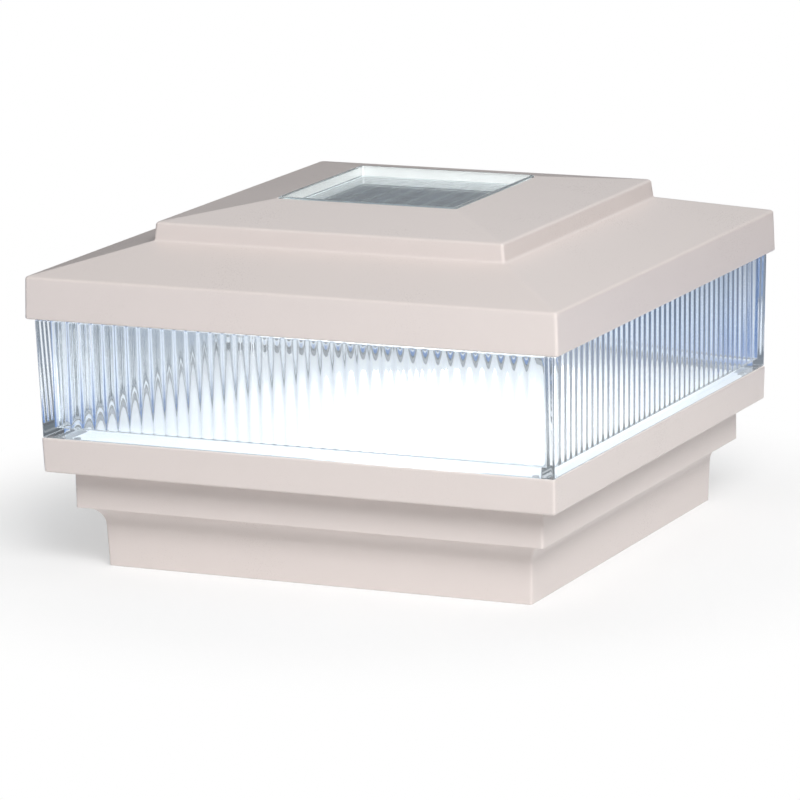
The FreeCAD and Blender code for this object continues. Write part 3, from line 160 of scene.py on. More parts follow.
class Finish:
    """A material on a Principled shader whose constant sockets are set once, by name."""

    def __init__(self, name, constants):
        self.name = name
        self.material = bpy.data.materials.new(name)
        self.material.use_nodes = True
        self.tree = self.material.node_tree
        self.shader = self.tree.nodes["Principled BSDF"]
        for socket, value in constants.items():
            self.shader.inputs[socket].default_value = value

    def node(self, kind, settings, inputs, output=0):
        """Add a node of one kind, set it up, feed its inputs and return one output."""
        made = self.tree.nodes.new(kind)
        for name, value in settings.items():
            setattr(made, name, value)
        for name, value in inputs.items():
            self.feed(made.inputs[name], value)
        return Signal(self, made.outputs[output])

    def feed(self, socket, value):
        if isinstance(value, Signal):
            self.tree.links.new(value.socket, socket)
        else:
            socket.default_value = value

    def place(self):
        """Where a point is on the object, in metres."""
        return self.node("ShaderNodeTexCoord", {}, {}, "Object")

    def noise(self, size, detail=2.0, stretch=(1.0, 1.0, 1.0)):
        """Soft random spots of about one size, in millimetres, from 0 to 1."""
        spots = self.node("ShaderNodeMapping", {}, {"Vector": self.place(), "Scale": stretch})
        return self.node("ShaderNodeTexNoise", {}, {
            "Vector": spots, "Scale": 1.0 / (size * MM), "Detail": detail}, "Fac")

    def blend(self, share, first, second):
        """A colour between two others."""
        return self.node("ShaderNodeMix", {"data_type": "RGBA"}, {0: share, 6: first, 7: second}, 2)

    def either(self, share, first, second):
        """A shader between two others."""
        return self.node("ShaderNodeMixShader", {}, {0: share, 1: first, 2: second})

    def body(self):
        """The Principled shader itself."""
        return Signal(self, self.shader.outputs[0])

    def show(self, shader):
        """Make a shader the surface of the material."""
        self.feed(self.tree.nodes["Material Output"].inputs["Surface"], shader)

    def bump(self, height, depth):
        """Turn a height from 0 to 1 into small relief of a depth in millimetres."""
        relief = self.node("ShaderNodeBump", {}, {
            "Height": height, "Distance": depth * MM, "Strength": 1.0})
        self.drive(Normal=relief)

    def drive(self, **signals):
        """Feed sockets of the shader by name, with underscores for spaces."""
        for name, value in signals.items():
            self.feed(self.shader.inputs[name.replace("_", " ")], value)

    def keep(self):
        """Put the material on the shelf of finishes under its own name."""
        finishes[self.name] = self.material
        return self


def rgba(colour):
    return (*colour, 1.0)


def dimmed(colour, share):
    """A colour at a share of its brightness."""
    return rgba(tuple(channel * share for channel in colour))


CLEAR_WHITE = (1.0, 1.0, 1.0, 1.0)
finishes = {}

# %% [markdown]
# ## Moulded plastic
#
# The lid and the base are moulded in one stone-coloured plastic with a satin skin. Two scales of
# unevenness tell the eye that it is moulded: a very fine grain that breaks up the gloss, and slow
# waves, a few centimetres long, where the skin cooled. The inner mouldings are the same plastic in
# white, grey or black, and only the numbers differ. The white plastic also gives off a little light
# of its own: behind the reeds it is lit by more bounces than a picture has samples for.

# %% Mix the moulded plastics
WAVES = 30.0
GRAIN_GLOSS = 0.08
WAVE_GLOSS = 0.04


def moulded(name, colour, shade, roughness, grain=0.35, depth=0.004):
    """Plastic whose colour drifts by a share called shade, with a fine grain in its gloss.

    roughness is the mean: the two noises, each 0.5 on average, swing it both ways. grain, the
    size of the fine spots, and depth, the height of their relief, are in millimetres.
    """
    made = Finish(name, {"IOR": 1.5, "Specular IOR Level": 0.5})
    drift = made.noise(WAVES)
    fine = made.noise(grain, 3.0)
    least = roughness - (GRAIN_GLOSS + WAVE_GLOSS) / 2
    made.drive(Base_Color=made.blend(drift, dimmed(colour, 1.0 - shade), rgba(colour)),
               Roughness=GRAIN_GLOSS * fine + WAVE_GLOSS * drift + least)
    made.bump(fine, depth)
    return made.keep()


STONE = (0.735, 0.665, 0.637)
WHITE = (0.86, 0.87, 0.88)
GREY = (0.22, 0.222, 0.228)
BLACK = (0.022, 0.022, 0.024)
WHITE_GLOW = 0.21
GLOW_CLOUDS = 60.0

moulded("tan_plastic", STONE, 0.02, 0.29)
bright = moulded("white_plastic", WHITE, 0.02, 0.35)
bright.shader.inputs["Emission Strength"].default_value = WHITE_GLOW
bright.drive(Emission_Color=bright.blend(bright.noise(GLOW_CLOUDS, 1.0), rgba(WHITE), CLEAR_WHITE))
moulded("grey_plastic", GREY, 0.08, 0.46, 0.5, 0.012)
moulded("switch_black", BLACK, 0.2, 0.38, 0.4, 0.01)
moulded("chip_black", BLACK, 0.3, 0.55, 0.15, 0.006)
moulded("can_sleeve", (0.02, 0.022, 0.05), 0.3, 0.25, 2.0)
moulded("ferrite", (0.06, 0.057, 0.055), 0.4, 0.62, 0.2, 0.02)
moulded("cell_sleeve", (0.03, 0.2, 0.11), 0.1, 0.22, 3.0, 0.006)
moulded("gasket_rubber", (0.03, 0.03, 0.032), 0.3, 0.8, 0.6, 0.03)
moulded("red_insulation", (0.5, 0.02, 0.02), 0.15, 0.36, 0.8, 0.006)
moulded("black_insulation", (0.02, 0.02, 0.021), 0.2, 0.36, 0.8, 0.006)
print("moulded finishes:", len(finishes))

# %% [markdown]
# ## Metal
#
# Screws, pins and contacts are small, so their finish is mostly a bright reflection broken by fine
# marks: rings left by turning on a screw, and a soft mottle on plated spring steel.

# %% Mix the metals
MARK_SHADE = 0.8
MARK_GLOSS = 0.2
MARK_DEPTH = 0.003
EVEN = (1.0, 1.0, 1.0)


def metal(name, colour, roughness, mark, stretch):
    """Bare metal with fine marks of a size in millimetres, drawn out along an axis by stretch."""
    made = Finish(name, {"Metallic": 1.0})
    marks = made.noise(mark, 4.0, stretch)
    made.drive(Base_Color=made.blend(marks, dimmed(colour, MARK_SHADE), rgba(colour)),
               Roughness=MARK_GLOSS * marks + (roughness - MARK_GLOSS / 2))
    made.bump(marks, MARK_DEPTH)
    made.keep()


metal("steel_screw", (0.62, 0.62, 0.63), 0.3, 0.3, (1.0, 1.0, 6.0))
metal("steel_pin", (0.66, 0.66, 0.67), 0.2, 0.2, (0.05, 1.0, 1.0))
metal("nickel_contact", (0.76, 0.73, 0.67), 0.28, 0.8, EVEN)
metal("tinned_ribbon", (0.30, 0.31, 0.33), 0.5, 0.3, (1.0, 0.1, 1.0))
metal("copper_wire", (0.75, 0.33, 0.17), 0.3, 0.25, (1.0, 1.0, 8.0))
print("finishes with the metals:", len(finishes))

# %% [markdown]
# ## Clear plastic
#
# The lens and the window are clear acrylic. Light that falls through them would need countless
# samples to find its way, so the usual trick is used: for a shadow ray the plastic is simply
# transparent, with a tint, and for the eye it refracts and shines. The lens has a cool tint that
# shows where one looks through two walls of it, and a trace of glow, because light from the dome
# is scattered in its walls.

# %% Mix the clear plastics
ACRYLIC = 1.49
HAZE = 6.0
CLEAR_ROUGHNESS = 0.03
LENS_GLOW = 0.03


def clear(name, tint, shadow_tint, clearness=1.0):
    """Acrylic that refracts for the eye, lets shadow rays through, and may be a little milky."""
    made = Finish(name, {"Base Color": rgba(tint), "Transmission Weight": clearness,
                         "IOR": ACRYLIC})
    made.drive(Roughness=made.noise(HAZE) * CLEAR_ROUGHNESS)
    through = made.node("ShaderNodeBsdfTransparent", {}, {"Color": rgba(shadow_tint)})
    shadow = made.node("ShaderNodeLightPath", {}, {}, "Is Shadow Ray")
    made.show(made.either(shadow, made.body(), through))
    return made.keep()


lit_lens = clear("clear_lens", (0.87, 0.905, 0.935), (0.60, 0.635, 0.66))
lit_lens.shader.inputs["Emission Color"].default_value = rgba((0.80, 0.92, 1.0))
lit_lens.shader.inputs["Emission Strength"].default_value = LENS_GLOW
clear("clear_window", (0.89, 0.95, 0.965), (0.93, 0.965, 0.975), 0.94)
print("finishes with the clear plastics:", len(finishes))

# %% [markdown]
# ## Boards, cells and what glows
#
# The panel is black laminate with dark blue strips of silicon whose crystals catch the light
# unevenly. Circuit boards are a lacquer over copper tracks, which stand up a little under it. The
# dome over the emitters is frosted, and is lit from inside, so it glows by itself.

# %% Mix the boards, the cells and the glow
TRACK_CELL = 3.0
TRACK_DISORDER = 0.35
TRACK_EDGE = (0.34, 0.38)
TRACK_DEPTH = 0.03
TRACK_GLOSS = 0.05
LACQUER = 0.24
CRYSTAL = 4.0
CRYSTAL_GLOSS = 0.15
GLASSY = 0.2
FINGER_PITCH = 1.4
FINGER_EDGE = (0.93, 0.97)
FINGER_SHARE = 0.12
FINGER_SILVER = (0.5, 0.52, 0.55)
CLOUDS = 8.0
CLOUD_SHADE = 0.92


def board(name, colour, track):
    """Lacquered board: tracks are the bands of a stepped pattern, a shade lighter and raised."""
    made = Finish(name, {"IOR": 1.5})
    cells = made.node("ShaderNodeTexVoronoi", {"distance": "CHEBYCHEV", "feature": "F1"}, {
        "Vector": made.place(), "Scale": 1.0 / (TRACK_CELL * MM),
        "Randomness": TRACK_DISORDER}, "Distance")
    tracks = cells.climb(*TRACK_EDGE, "LINEAR")
    made.drive(Base_Color=made.blend(tracks, rgba(colour), rgba(track)),
               Roughness=LACQUER + TRACK_GLOSS * tracks)
    made.bump(tracks, TRACK_DEPTH)
    made.keep()


def silicon(name, dark, light):
    """Crystalline silicon: grains of slightly different blue under a glossy cover."""
    made = Finish(name, {"IOR": 1.5, "Coat Weight": 1.0, "Coat Roughness": 0.03})
    crystals = made.node("ShaderNodeTexVoronoi", {"feature": "F1"}, {
        "Vector": made.place(), "Scale": 1.0 / (CRYSTAL * MM)}, "Color")
    lines = made.node("ShaderNodeTexWave", {"wave_type": "BANDS", "bands_direction": "Y"}, {
        "Vector": made.place(), "Scale": 1.0 / (FINGER_PITCH * MM) / math.tau}, "Fac")
    fingers = lines.climb(*FINGER_EDGE, "LINEAR")
    share = made.node("ShaderNodeSeparateColor", {}, {"Color": crystals})
    tone = made.blend(share, rgba(dark), rgba(light))
    made.drive(Base_Color=made.blend(FINGER_SHARE * fingers, tone, rgba(FINGER_SILVER)),
               Roughness=GLASSY + CRYSTAL_GLOSS * share)
    made.keep()


def glowing(name, colour, glow, strength):
    """Frosted plastic lit from inside, a little uneven."""
    made = Finish(name, {"Roughness": 0.5, "Emission Strength": strength})
    cloud = made.noise(CLOUDS, 1.0)
    dimmer = dimmed(glow, CLOUD_SHADE)
    made.drive(Base_Color=made.blend(cloud, dimmer, rgba(colour)),
               Emission_Color=made.blend(cloud, dimmer, rgba(glow)))
    made.keep()


board("green_board", (0.015, 0.13, 0.045), (0.03, 0.2, 0.075))
board("white_board", (0.80, 0.81, 0.80), (0.86, 0.87, 0.86))
board("panel_laminate", (0.012, 0.013, 0.016), (0.02, 0.021, 0.026))
silicon("solar_cell", (0.008, 0.014, 0.03), (0.02, 0.035, 0.07))
glowing("frosted_diffuser", (0.93, 0.94, 0.93), (0.97, 1.0, 0.99), 1.6)
glowing("led_phosphor", (0.9, 0.8, 0.3), (1.0, 0.97, 0.85), 4.0)
print("finishes:", len(finishes))

# %% Dress the frame's own pieces
slots = {entry["node"]: entry["material_slot"] for entry in frame["record"]["subparts"]}
for name, thing in nodes.items():
    thing.data.materials.clear()
    thing.data.materials.append(finishes[slots[name]])
print("dressed:", len(nodes))

# %% [markdown]
# ## Surfaces from a profile and a plan
#
# Nearly every shell here is the same idea: a profile, the outline that a saw cut would show, is
# carried round a square plan with slightly rounded corners. A profile point is a half width and a
# height. A plan point has two parts: a place on a square of half width 1, and the direction that
# faces outwards there. At a half width w and a corner radius r the surface point is
#
#     (w - r) * place + r * direction
#
# so flat sides stay flat and every corner keeps the same small radius, however the width changes.
# A turned piece is the same formula with a circle of directions and no corner radius.

# %% Round a profile's corners
ARC_STEPS = 4
KEEP_FLAT = 0.35
FLAT_SHARE = 0.3
LEAST_RADIUS = 0.02
FLATTEST = 0.99999


def rounded(corners, loop=True):
    """A profile with each corner turned by an arc.

    corners is an array of rows (half width, height, radius). Each corner is replaced by points on
    the circle of that radius that touches both of its edges: centre + radius * direction, where
    the direction swings evenly from one edge's normal to the other's. A further point a short way
    down each edge keeps the flat beside the arc flat when it is shaded smoothly.
    """
    rows = np.asarray(corners, float)
    spot, radius = rows[:, :2], np.maximum(rows[:, 2], LEAST_RADIUS)[:, None]
    to_last = np.roll(spot, 1, 0) - spot
    to_next = np.roll(spot, -1, 0) - spot
    long_last = np.linalg.norm(to_last, axis=1, keepdims=True)
    long_next = np.linalg.norm(to_next, axis=1, keepdims=True)
    a, b = to_last / long_last, to_next / long_next
    half_angle = np.arccos(np.clip((a * b).sum(1, keepdims=True), -FLATTEST, FLATTEST)) / 2
    reach = radius / np.tan(half_angle)
    middle = (a + b) / np.linalg.norm(a + b, axis=1, keepdims=True)
    centre = spot + middle * radius / np.sin(half_angle)
    first, last = spot + a * reach - centre, spot + b * reach - centre
    swing = np.linspace(0, 1, ARC_STEPS + 1)[None, :, None]
    arm = (1 - swing) * first[:, None] + swing * last[:, None]
    arc = centre[:, None] + radius[:, None] * arm / np.linalg.norm(arm, axis=2, keepdims=True)
    before = spot + a * (reach + np.minimum(KEEP_FLAT, (long_last - reach) * FLAT_SHARE))
    after = spot + b * (reach + np.minimum(KEEP_FLAT, (long_next - reach) * FLAT_SHARE))
    path = np.concatenate((before[:, None], arc, after[:, None]), axis=1)
    if not loop:
        path[0], path[-1] = spot[0], spot[-1]
        return path.reshape(-1, 2)[ARC_STEPS + 2:-(ARC_STEPS + 2)]
    return path.reshape(-1, 2)


print("points on a square bar:", len(rounded([(1, 0, .1), (2, 0, .1), (2, 1, .1), (1, 1, .1)])))

# %% Walk round a plan
CORNER_STEPS = 5


def square_plan(along):
    """Places and directions round a square whose corners are arcs of CORNER_STEPS.

    along holds where the points of one side stand, from -1 to 1. The side that faces -Y has
    places (along, -1) and direction (0, -1); a quarter circle of directions follows it at the
    corner (1, -1); and three quarter turns make the other sides.
    """
    turn = np.radians(np.linspace(-90, 0, CORNER_STEPS + 1)[1:-1])
    place = np.concatenate((np.stack((along, -np.ones_like(along)), 1),
                            np.tile((1.0, -1.0), (len(turn), 1))))
    facing = np.concatenate((np.tile((0.0, -1.0), (len(along), 1)),
                             np.stack((np.cos(turn), np.sin(turn)), 1)))
    quarter = np.array(((0, 1), (-1, 0)))
    turns = [np.linalg.matrix_power(quarter, k) for k in range(4)]
    return np.concatenate([place @ t for t in turns]), np.concatenate([facing @ t for t in turns])


def circle(steps, start=0.0):
    """Directions all the way round, (cos a, sin a), one to each step."""
    angle = start + np.linspace(0, 2 * np.pi, steps, endpoint=False)
    return np.stack((np.cos(angle), np.sin(angle)), 1)


NEAR_END = 0.995
PLAIN_PLAN = square_plan(np.array((-1.0, -NEAR_END, NEAR_END, 1.0)))
print("points round a plain plan:", len(PLAIN_PLAN[0]))

# %% Sew rings of points into pieces
SHARP = math.radians(32)
MERGED = 1e-7
TIP = 0.2
made_pieces = []


def carried(profile, corner_radius, place, facing, dip=0.0):
    """Rings of points: w * place + corner_radius * facing at each height of a profile.

    w is the profile's half width less the corner radius, and at least TIP. dip, if given, is an
    array of millimetres added to w, one row for each profile point and one column for each plan
    point.
    """
    width = np.maximum(profile[:, :1] - corner_radius, TIP) + dip
    flat = width[..., None] * place[None] + corner_radius * facing[None]
    return np.dstack((flat, np.broadcast_to(profile[:, 1:], flat.shape[:2])))


def sew(rows, columns, loop_rows):
    """The four-cornered faces of a grid that closes along its columns, and maybe its rows."""
    index = np.arange(rows * columns).reshape(rows, columns)
    down = np.roll(index, -1, 0) if loop_rows else index[1:]
    index = index if loop_rows else index[:-1]
    across = np.roll(index, -1, 1)
    below = np.roll(down, -1, 1)
    return np.stack((index, across, below, down), -1).reshape(-1, 4)


def closed_mesh(name, points, faces):
    """A mesh from points in millimetres, merged and with its normals outwards."""
    mesh = bpy.data.meshes.new(name)
    mesh.from_pydata((np.asarray(points) * MM).tolist(), [], [list(face) for face in faces])
    work = bmesh.new()
    work.from_mesh(mesh)
    bmesh.ops.remove_doubles(work, verts=work.verts, dist=MERGED)
    bmesh.ops.recalc_face_normals(work, faces=work.faces)
    work.to_mesh(mesh)
    work.free()
    return mesh


def smooth(mesh):
    """Shade a mesh smoothly but for its sharp edges."""
    mesh.shade_smooth()
    mesh.set_sharp_from_angle(angle=SHARP)


def linked(name, data):
    """A new object, linked into the scene."""
    thing = bpy.data.objects.new(name, data)
    bpy.context.scene.collection.objects.link(thing)
    return thing


def piece(name, points, faces, finish, stands_for):
    """A finished piece of the root body that stands for nodes of the frame."""
    mesh = closed_mesh(name, points, faces)
    smooth(mesh)
    mesh.materials.append(finishes[finish])
    thing = linked(name, mesh)
    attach(thing, "root")
    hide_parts(*stands_for)
    made_pieces.append(name)
    print(f"{name}: {len(mesh.polygons)} faces")
    return thing


def shell(name, rings, finish, stands_for, closed=True):
    """Sew rings into a piece: in a closed loop, or with one face at each end."""
    rows, columns = rings.shape[:2]
    faces = list(sew(rows, columns, closed))
    if not closed:
        faces += list(np.arange(rows * columns).reshape(rows, columns)[[0, -1]])
    return piece(name, rings.reshape(-1, 3), faces, finish, stands_for)


# %% [markdown]
# ## The base
#
# The base is one moulding: a sleeve with a slight draft goes over the post, a cove leads out to
# the lower band, a step leads out to the upper band, and a deck inside stops the post. Its profile
# is a closed loop, and its cove is an arc that curves inwards.

# %% Make the base
POST_HALF = 64.2
SKIRT_HALF = 66.55
SKIRT_TOP = 12.1
COVE_RADIUS = 6.2
COVE_STEPS = 10
BAND_HALF = 73.2
BAND_TOP = 29.6
RIM_FOOT_HALF = 79.6
RIM_HALF = 79.93
BASE_TOP = corner("base_skirt", 2, 1)
SEAT = (77.13, 34.4)
GROOVE = (74.63, 32.4)
WELL_HALF = 70.4
DECK = (18.5, 21.0)
HATCH_HALF = 33.3
EDGE = 0.5
BASE_CORNER = 0.7

base_corners = [
    # outside: the sleeve up to the cove, the lower band, the upper band
    (SKIRT_HALF, 0.0, 0.35), (BAND_HALF - COVE_RADIUS, SKIRT_TOP, 0.2),
    (BAND_HALF, SKIRT_TOP + COVE_RADIUS, 0.3), (BAND_HALF, BAND_TOP, 0.25),
    (RIM_FOOT_HALF, BAND_TOP, EDGE), (RIM_HALF, BASE_TOP, EDGE),
    # inside: the seat and the groove of the lens, the well, the deck, the post's socket
    (SEAT[0], BASE_TOP, 0.25), (*SEAT, 0.1), (GROOVE[0], SEAT[1], 0.1), (*GROOVE, 0.2),
    (WELL_HALF, GROOVE[1], EDGE), (WELL_HALF, DECK[1], EDGE),
    (HATCH_HALF, DECK[1], 0.2), (HATCH_HALF, DECK[0], 0.2),
    (POST_HALF, DECK[0], 0.4), (POST_HALF, 0.0, 0.35),
]
base_path = rounded(base_corners)
swing = np.radians(np.linspace(0, 90, COVE_STEPS + 1))[1:-1, None]
cove_arm = np.hstack((-np.cos(swing), np.sin(swing)))
cove = np.array((BAND_HALF, SKIRT_TOP)) + COVE_RADIUS * cove_arm
per_corner = ARC_STEPS + 3
cove_start, cove_end = 2 * per_corner - 1, 2 * per_corner + 1
base_path = np.concatenate((base_path[:cove_start], cove, base_path[cove_end:]))
base = shell("base_shell", carried(base_path, BASE_CORNER, *PLAIN_PLAN), "tan_plastic",
             ("base_skirt",))

# %% [markdown]
# ## Screw bosses and holes
#
# The screws that hold the base to the floor don't follow the square, so they are carved into the
# finished shell. Upright pegs are joined to it as bosses, and thinner ones are cut away as holes
# and as wider recesses for the heads.

# %% Raise the screw bosses and drill them
BOSS_PLACE = 52.0
BOSS_RADIUS = 4.5
BOSS_TOP = 24.0
HOLE_RADIUS = 1.7
RECESS_RADIUS = 3.1
RECESS_TOP = 20.6
PAST = 1.0
ROUND = circle(40)


def at_corners(out):
    """Four spots at one distance from both middle planes."""
    return np.array([(out * x, out * y) for x in (-1, 1) for y in (-1, 1)])


def pegs(spots, radius, low, high, plan=ROUND):
    """Upright pegs on given spots: spot + radius * plan, at a low and a high ring."""
    rings = carried(np.array(((radius, low), (radius, high))), 0.0, plan, plan)
    points = rings[None] + np.pad(spots, ((0, 0), (0, 1)))[:, None, None]
    per_peg = 2 * len(plan)
    one = [*sew(2, len(plan), False), *np.arange(per_peg).reshape(2, -1)]
    faces = [face + per_peg * peg for peg in range(len(spots)) for face in one]
    return linked("pegs", closed_mesh("pegs", points.reshape(-1, 3), faces))


def carve(thing, tool, operation):
    """Join a tool to a piece, or cut it away, and drop the tool."""
    step = thing.modifiers.new("carve", "BOOLEAN")
    step.object, step.operation, step.solver = tool, operation, "EXACT"
    shaped = bpy.data.meshes.new_from_object(
        thing.evaluated_get(bpy.context.evaluated_depsgraph_get()))
    thing.modifiers.remove(step)
    old, thing.data = thing.data, shaped
    bpy.data.meshes.remove(old)
    bpy.data.objects.remove(tool)
    smooth(shaped)


bosses = at_corners(BOSS_PLACE)
under = DECK[0] - PAST
carve(base, pegs(bosses, BOSS_RADIUS, DECK[0] + PAST, BOSS_TOP), "UNION")
carve(base, pegs(bosses, HOLE_RADIUS, under, BOSS_TOP + PAST), "DIFFERENCE")
carve(base, pegs(bosses, RECESS_RADIUS, under, RECESS_TOP), "DIFFERENCE")
print("base faces after drilling:", len(base.data.polygons))

# %% [markdown]
# ## The lid
#
# The lid's profile climbs a deep lip, a low slope, a raised tier and an upper slope to the
# window's opening, and comes back down inside at a steady wall. Real edges are never sharp, and
# the thin bright line on them is what makes a moulding look moulded, so each one has its radius.

# %% Make the lid
LIP_FOOT = 74.6
LIP_INSIDE = 79.3
TURN = 0.9
OPENING_HALF = 28.45
SEAT_UNDER = 99.6
LID_CORNER = 0.9

lid_corners = [
    # outside: the lip, the low slope up to the tier, the tier, the upper slope
    (82.5, LIP_FOOT, 0.5), (82.19, 86.8, TURN), (54.9, 94.0, TURN), (54.35, 99.3, TURN),
    # the opening, and the face that the window's flange is pressed on
    (28.6, 103.24, 0.15), (OPENING_HALF, 102.9, 0.15),
    (OPENING_HALF, SEAT_UNDER, 0.1), (33.6, SEAT_UNDER, 0.1),
    # inside, back down to the lip
    (51.45, 96.9, 0.4), (52.0, 91.87, 0.4), (LIP_INSIDE, 84.66, 0.6), (LIP_INSIDE, LIP_FOOT, 0.3),
]
shell("lid_shell", carried(rounded(lid_corners), LID_CORNER, *PLAIN_PLAN), "tan_plastic",
      ("roof_cap",))

# %% [markdown]
# ## The reeded lens
#
# The lens is a band of clear plastic, smooth outside and reeded inside. The reeds are one wave:
#
#     rise(x) = height * (1 - cos(2 pi x / pitch)) / 2
#
# with x measured from a valley between two of them. The reeds stop short of the corners, which are
# thick and plain, and stand on a plain foot. The plan needs many points along a side, the profile
# few.

# %% Make the lens
REED_PITCH = 3.81
REED_HEIGHT = 0.45
REEDS = 39
REED_POINTS = 8
VALLEY_HALF = 76.63
LENS_CORNER = 0.6
FOOT = 36.0
FOOT_TOP = 42.5
LEDGE = 39.7
LAP_FOOT = 74.3
LENS_TOP = 80.0
PLAIN_END = 0.996
SAME_PLACE = 0.03

reed_span = REED_PITCH * REEDS / 2
steps = np.linspace(-reed_span, reed_span, REEDS * REED_POINTS + 1)
lens_along = np.concatenate(((-1.0, -PLAIN_END), steps / (VALLEY_HALF - LENS_CORNER),
                             (PLAIN_END, 1.0)))
reed_rise = REED_HEIGHT * (1 - np.cos(2 * np.pi * (steps + reed_span) / REED_PITCH)) / 2
side_rise = np.concatenate(((0, 0), reed_rise, (0, 0)))
plan_rise = np.tile(np.concatenate((side_rise, np.zeros(CORNER_STEPS - 1))), 4)

lens_corners = [
    # outside: the tongue in the base, the ledge on its rim, the wall, the lap inside the lid
    (76.83, FOOT, 0.2), (76.83, LEDGE, 0.05), (79.63, LEDGE, 0.3), (80.48, LAP_FOOT, 0.3),
    (79.0, LAP_FOOT, 0.1), (79.0, LENS_TOP, 0.2),
    # inside: the reeds' valleys down to the thick foot
    (VALLEY_HALF, LENS_TOP, 0.0), (VALLEY_HALF, FOOT_TOP, 0.0), (74.43, FOOT_TOP, 0.4),
    (74.43, FOOT, 0.2),
]
lens_path = rounded(lens_corners)
reeded = np.abs(lens_path[:, :1] - VALLEY_HALF) < SAME_PLACE
lens_rings = carried(lens_path, LENS_CORNER, *square_plan(lens_along),
                     np.where(reeded, -plan_rise, 0.0))
shell("lens_band", lens_rings, "clear_lens", ("lens",))

# %% [markdown]
# ## The window
#
# The window is a clear tray pushed up into the lid from below: a thin rim round a shallow recess,
# and a flange underneath that the retainer presses on. Its profile is open: it runs from the middle
# of the top to the middle of the underside, and one face closes each end.

# %% Make the window
TRAY_CORNER = 0.9
INSIDE_RIM = 27.2
OUTSIDE_RIM = 28.2
RIM_TOP = 103.6
FLANGE_HALF = 32.8
FLANGE = (97.2, 98.8)
PANE = (99.4, 100.6)
MIDDLE = 1.0

window_corners = [
    # the pane's top, the rim, the flange
    (MIDDLE, PANE[1], 0.0), (INSIDE_RIM, PANE[1], 0.5), (INSIDE_RIM, RIM_TOP, 0.25),
    (OUTSIDE_RIM, RIM_TOP, 0.3), (OUTSIDE_RIM, FLANGE[1], 0.1), (FLANGE_HALF, FLANGE[1], 0.2),
    # back in under the flange to the pane's underside
    (FLANGE_HALF, FLANGE[0], 0.2), (INSIDE_RIM, FLANGE[0], 0.1), (INSIDE_RIM, PANE[0], 0.3),
    (MIDDLE, PANE[0], 0.0),
]
window_rings = carried(rounded(window_corners, loop=False), TRAY_CORNER, *PLAIN_PLAN)
shell("window_tray", window_rings, "clear_window", ("panel_window",), closed=False)

# %% [markdown]
# ## The white floor
#
# The floor of the lens is a white plate that throws the light back up. The measured frame notches
# its corners for the screw lugs of the lens. On the real light no dark notch shows through the
# clear corner, so a copy of the measured mesh is merged and a small square pad closes each notch.

# %% Make the floor plate
PLATE_TOP = corner("reflector_floor", 2, 1)
PLATE = 1.5
PAD = (66.9, 74.13)
SQUARE = circle(4, math.pi / 4)


def copied(name, source, finish):
    """A copy of a measured piece with its loose triangles merged, to be carved further."""
    mesh = nodes[source].data
    spots = np.empty(len(mesh.vertices) * 3)
    mesh.vertices.foreach_get("co", spots)
    faces = [tuple(face.vertices) for face in mesh.polygons]
    return piece(name, spots.reshape(-1, 3) / MM, faces, finish, (source,))


floor_plate = copied("floor_plate", "reflector_floor", "white_plastic")
pads = pegs(at_corners(sum(PAD) / 2), (PAD[1] - PAD[0]) / 2 * math.sqrt(2),
            PLATE_TOP - PLATE, PLATE_TOP, SQUARE)
carve(floor_plate, pads, "UNION")
print("floor plate faces:", len(floor_plate.data.polygons))

# %% [markdown]
# ## The diffuser dome
#
# In the middle of the white floor a frosted dome covers the emitters. It is turned: a profile of
# radius and height goes once round the axis.

# %% Make the dome
DOME_TURN = circle(96)
DOME_RADIUS = 25.0
DOME_WALL = 1.2
DOME_TOP = corner("light_dome", 2, 1)
FLANGE_FOOT = corner("light_dome", 2, 0)
DOME_FOOT = FLANGE_FOOT + DOME_WALL
FLANGE_RADIUS = 27.5
FLANGE_EDGE = 0.3


def cap_arc(radius, foot, top, count=16):
    """An arc from the axis at height top out to radius at height foot."""
    rise = top - foot
    sphere = (radius ** 2 + rise ** 2) / (2 * rise)
    reach = np.linspace(0, math.asin(radius / sphere), count)
    return np.stack((sphere * np.sin(reach), top - sphere + sphere * np.cos(reach)), 1)


inner_radius = DOME_RADIUS - DOME_WALL
dome_outer = cap_arc(DOME_RADIUS, DOME_FOOT, DOME_TOP)
dome_inner = cap_arc(inner_radius, DOME_FOOT, DOME_TOP - DOME_WALL)[::-1]
flange = np.array(((FLANGE_RADIUS - FLANGE_EDGE, DOME_FOOT),
                   (FLANGE_RADIUS, DOME_FOOT - FLANGE_EDGE),
                   (FLANGE_RADIUS, FLANGE_FOOT), (inner_radius, FLANGE_FOOT)))
dome_path = np.concatenate((dome_outer, flange, dome_inner))
shell("dome_shell", carried(dome_path, 0.0, DOME_TURN, DOME_TURN), "frosted_diffuser",
      ("light_dome",), closed=False)

# %% [markdown]
# ## The floor
#
# Near the light the floor is an ordinary white surface, so it keeps a soft shadow; further off it
# turns into plain white for the eye, so no horizon shows. What glass and gloss send on sees painted
# shade there: blue patches behind the light and at its near left, which the lens shows as its
# grey-blue shading. Gloss also sees a painted dark reflection where the floor lies far behind. The
# square under the light glows, so that the hollow base is lit for a look from below, where the
# floor lets the eye through.

# %% Lay the floor
FLOOR_SIZE = 12.0
GAP = 0.2 * MM
NEAR = (0.09, 0.18)
NEAR_SHARE = 0.5
COVERED = (0.0655, 0.067)
COVERED_GLOW = 0.6
BEYOND = (0.19, 0.31)
ACROSS = (-0.15, -0.08)
LEFT = (-0.18, -0.12)
NEARER = (0.10, 0.18)
PAINTED_REFLECTION_DARK = (0.2, 0.7)
# The blue of the painted shade on the floor, which the lens shows.
PAINTED_LENS_BLUE = (0.07, 0.19, 0.50)
LOW = (0.03, 0.033, 0.045)


def kinds_of_ray(finish):
    """Three shares: 1 for the eye, 1 for gloss, and 1 for what gloss or glass sends on."""
    eye = finish.node("ShaderNodeLightPath", {}, {}, "Is Camera Ray")
    gloss = eye.beside("Is Glossy Ray")
    return eye, gloss, gloss.most(eye.beside("Is Transmission Ray"))


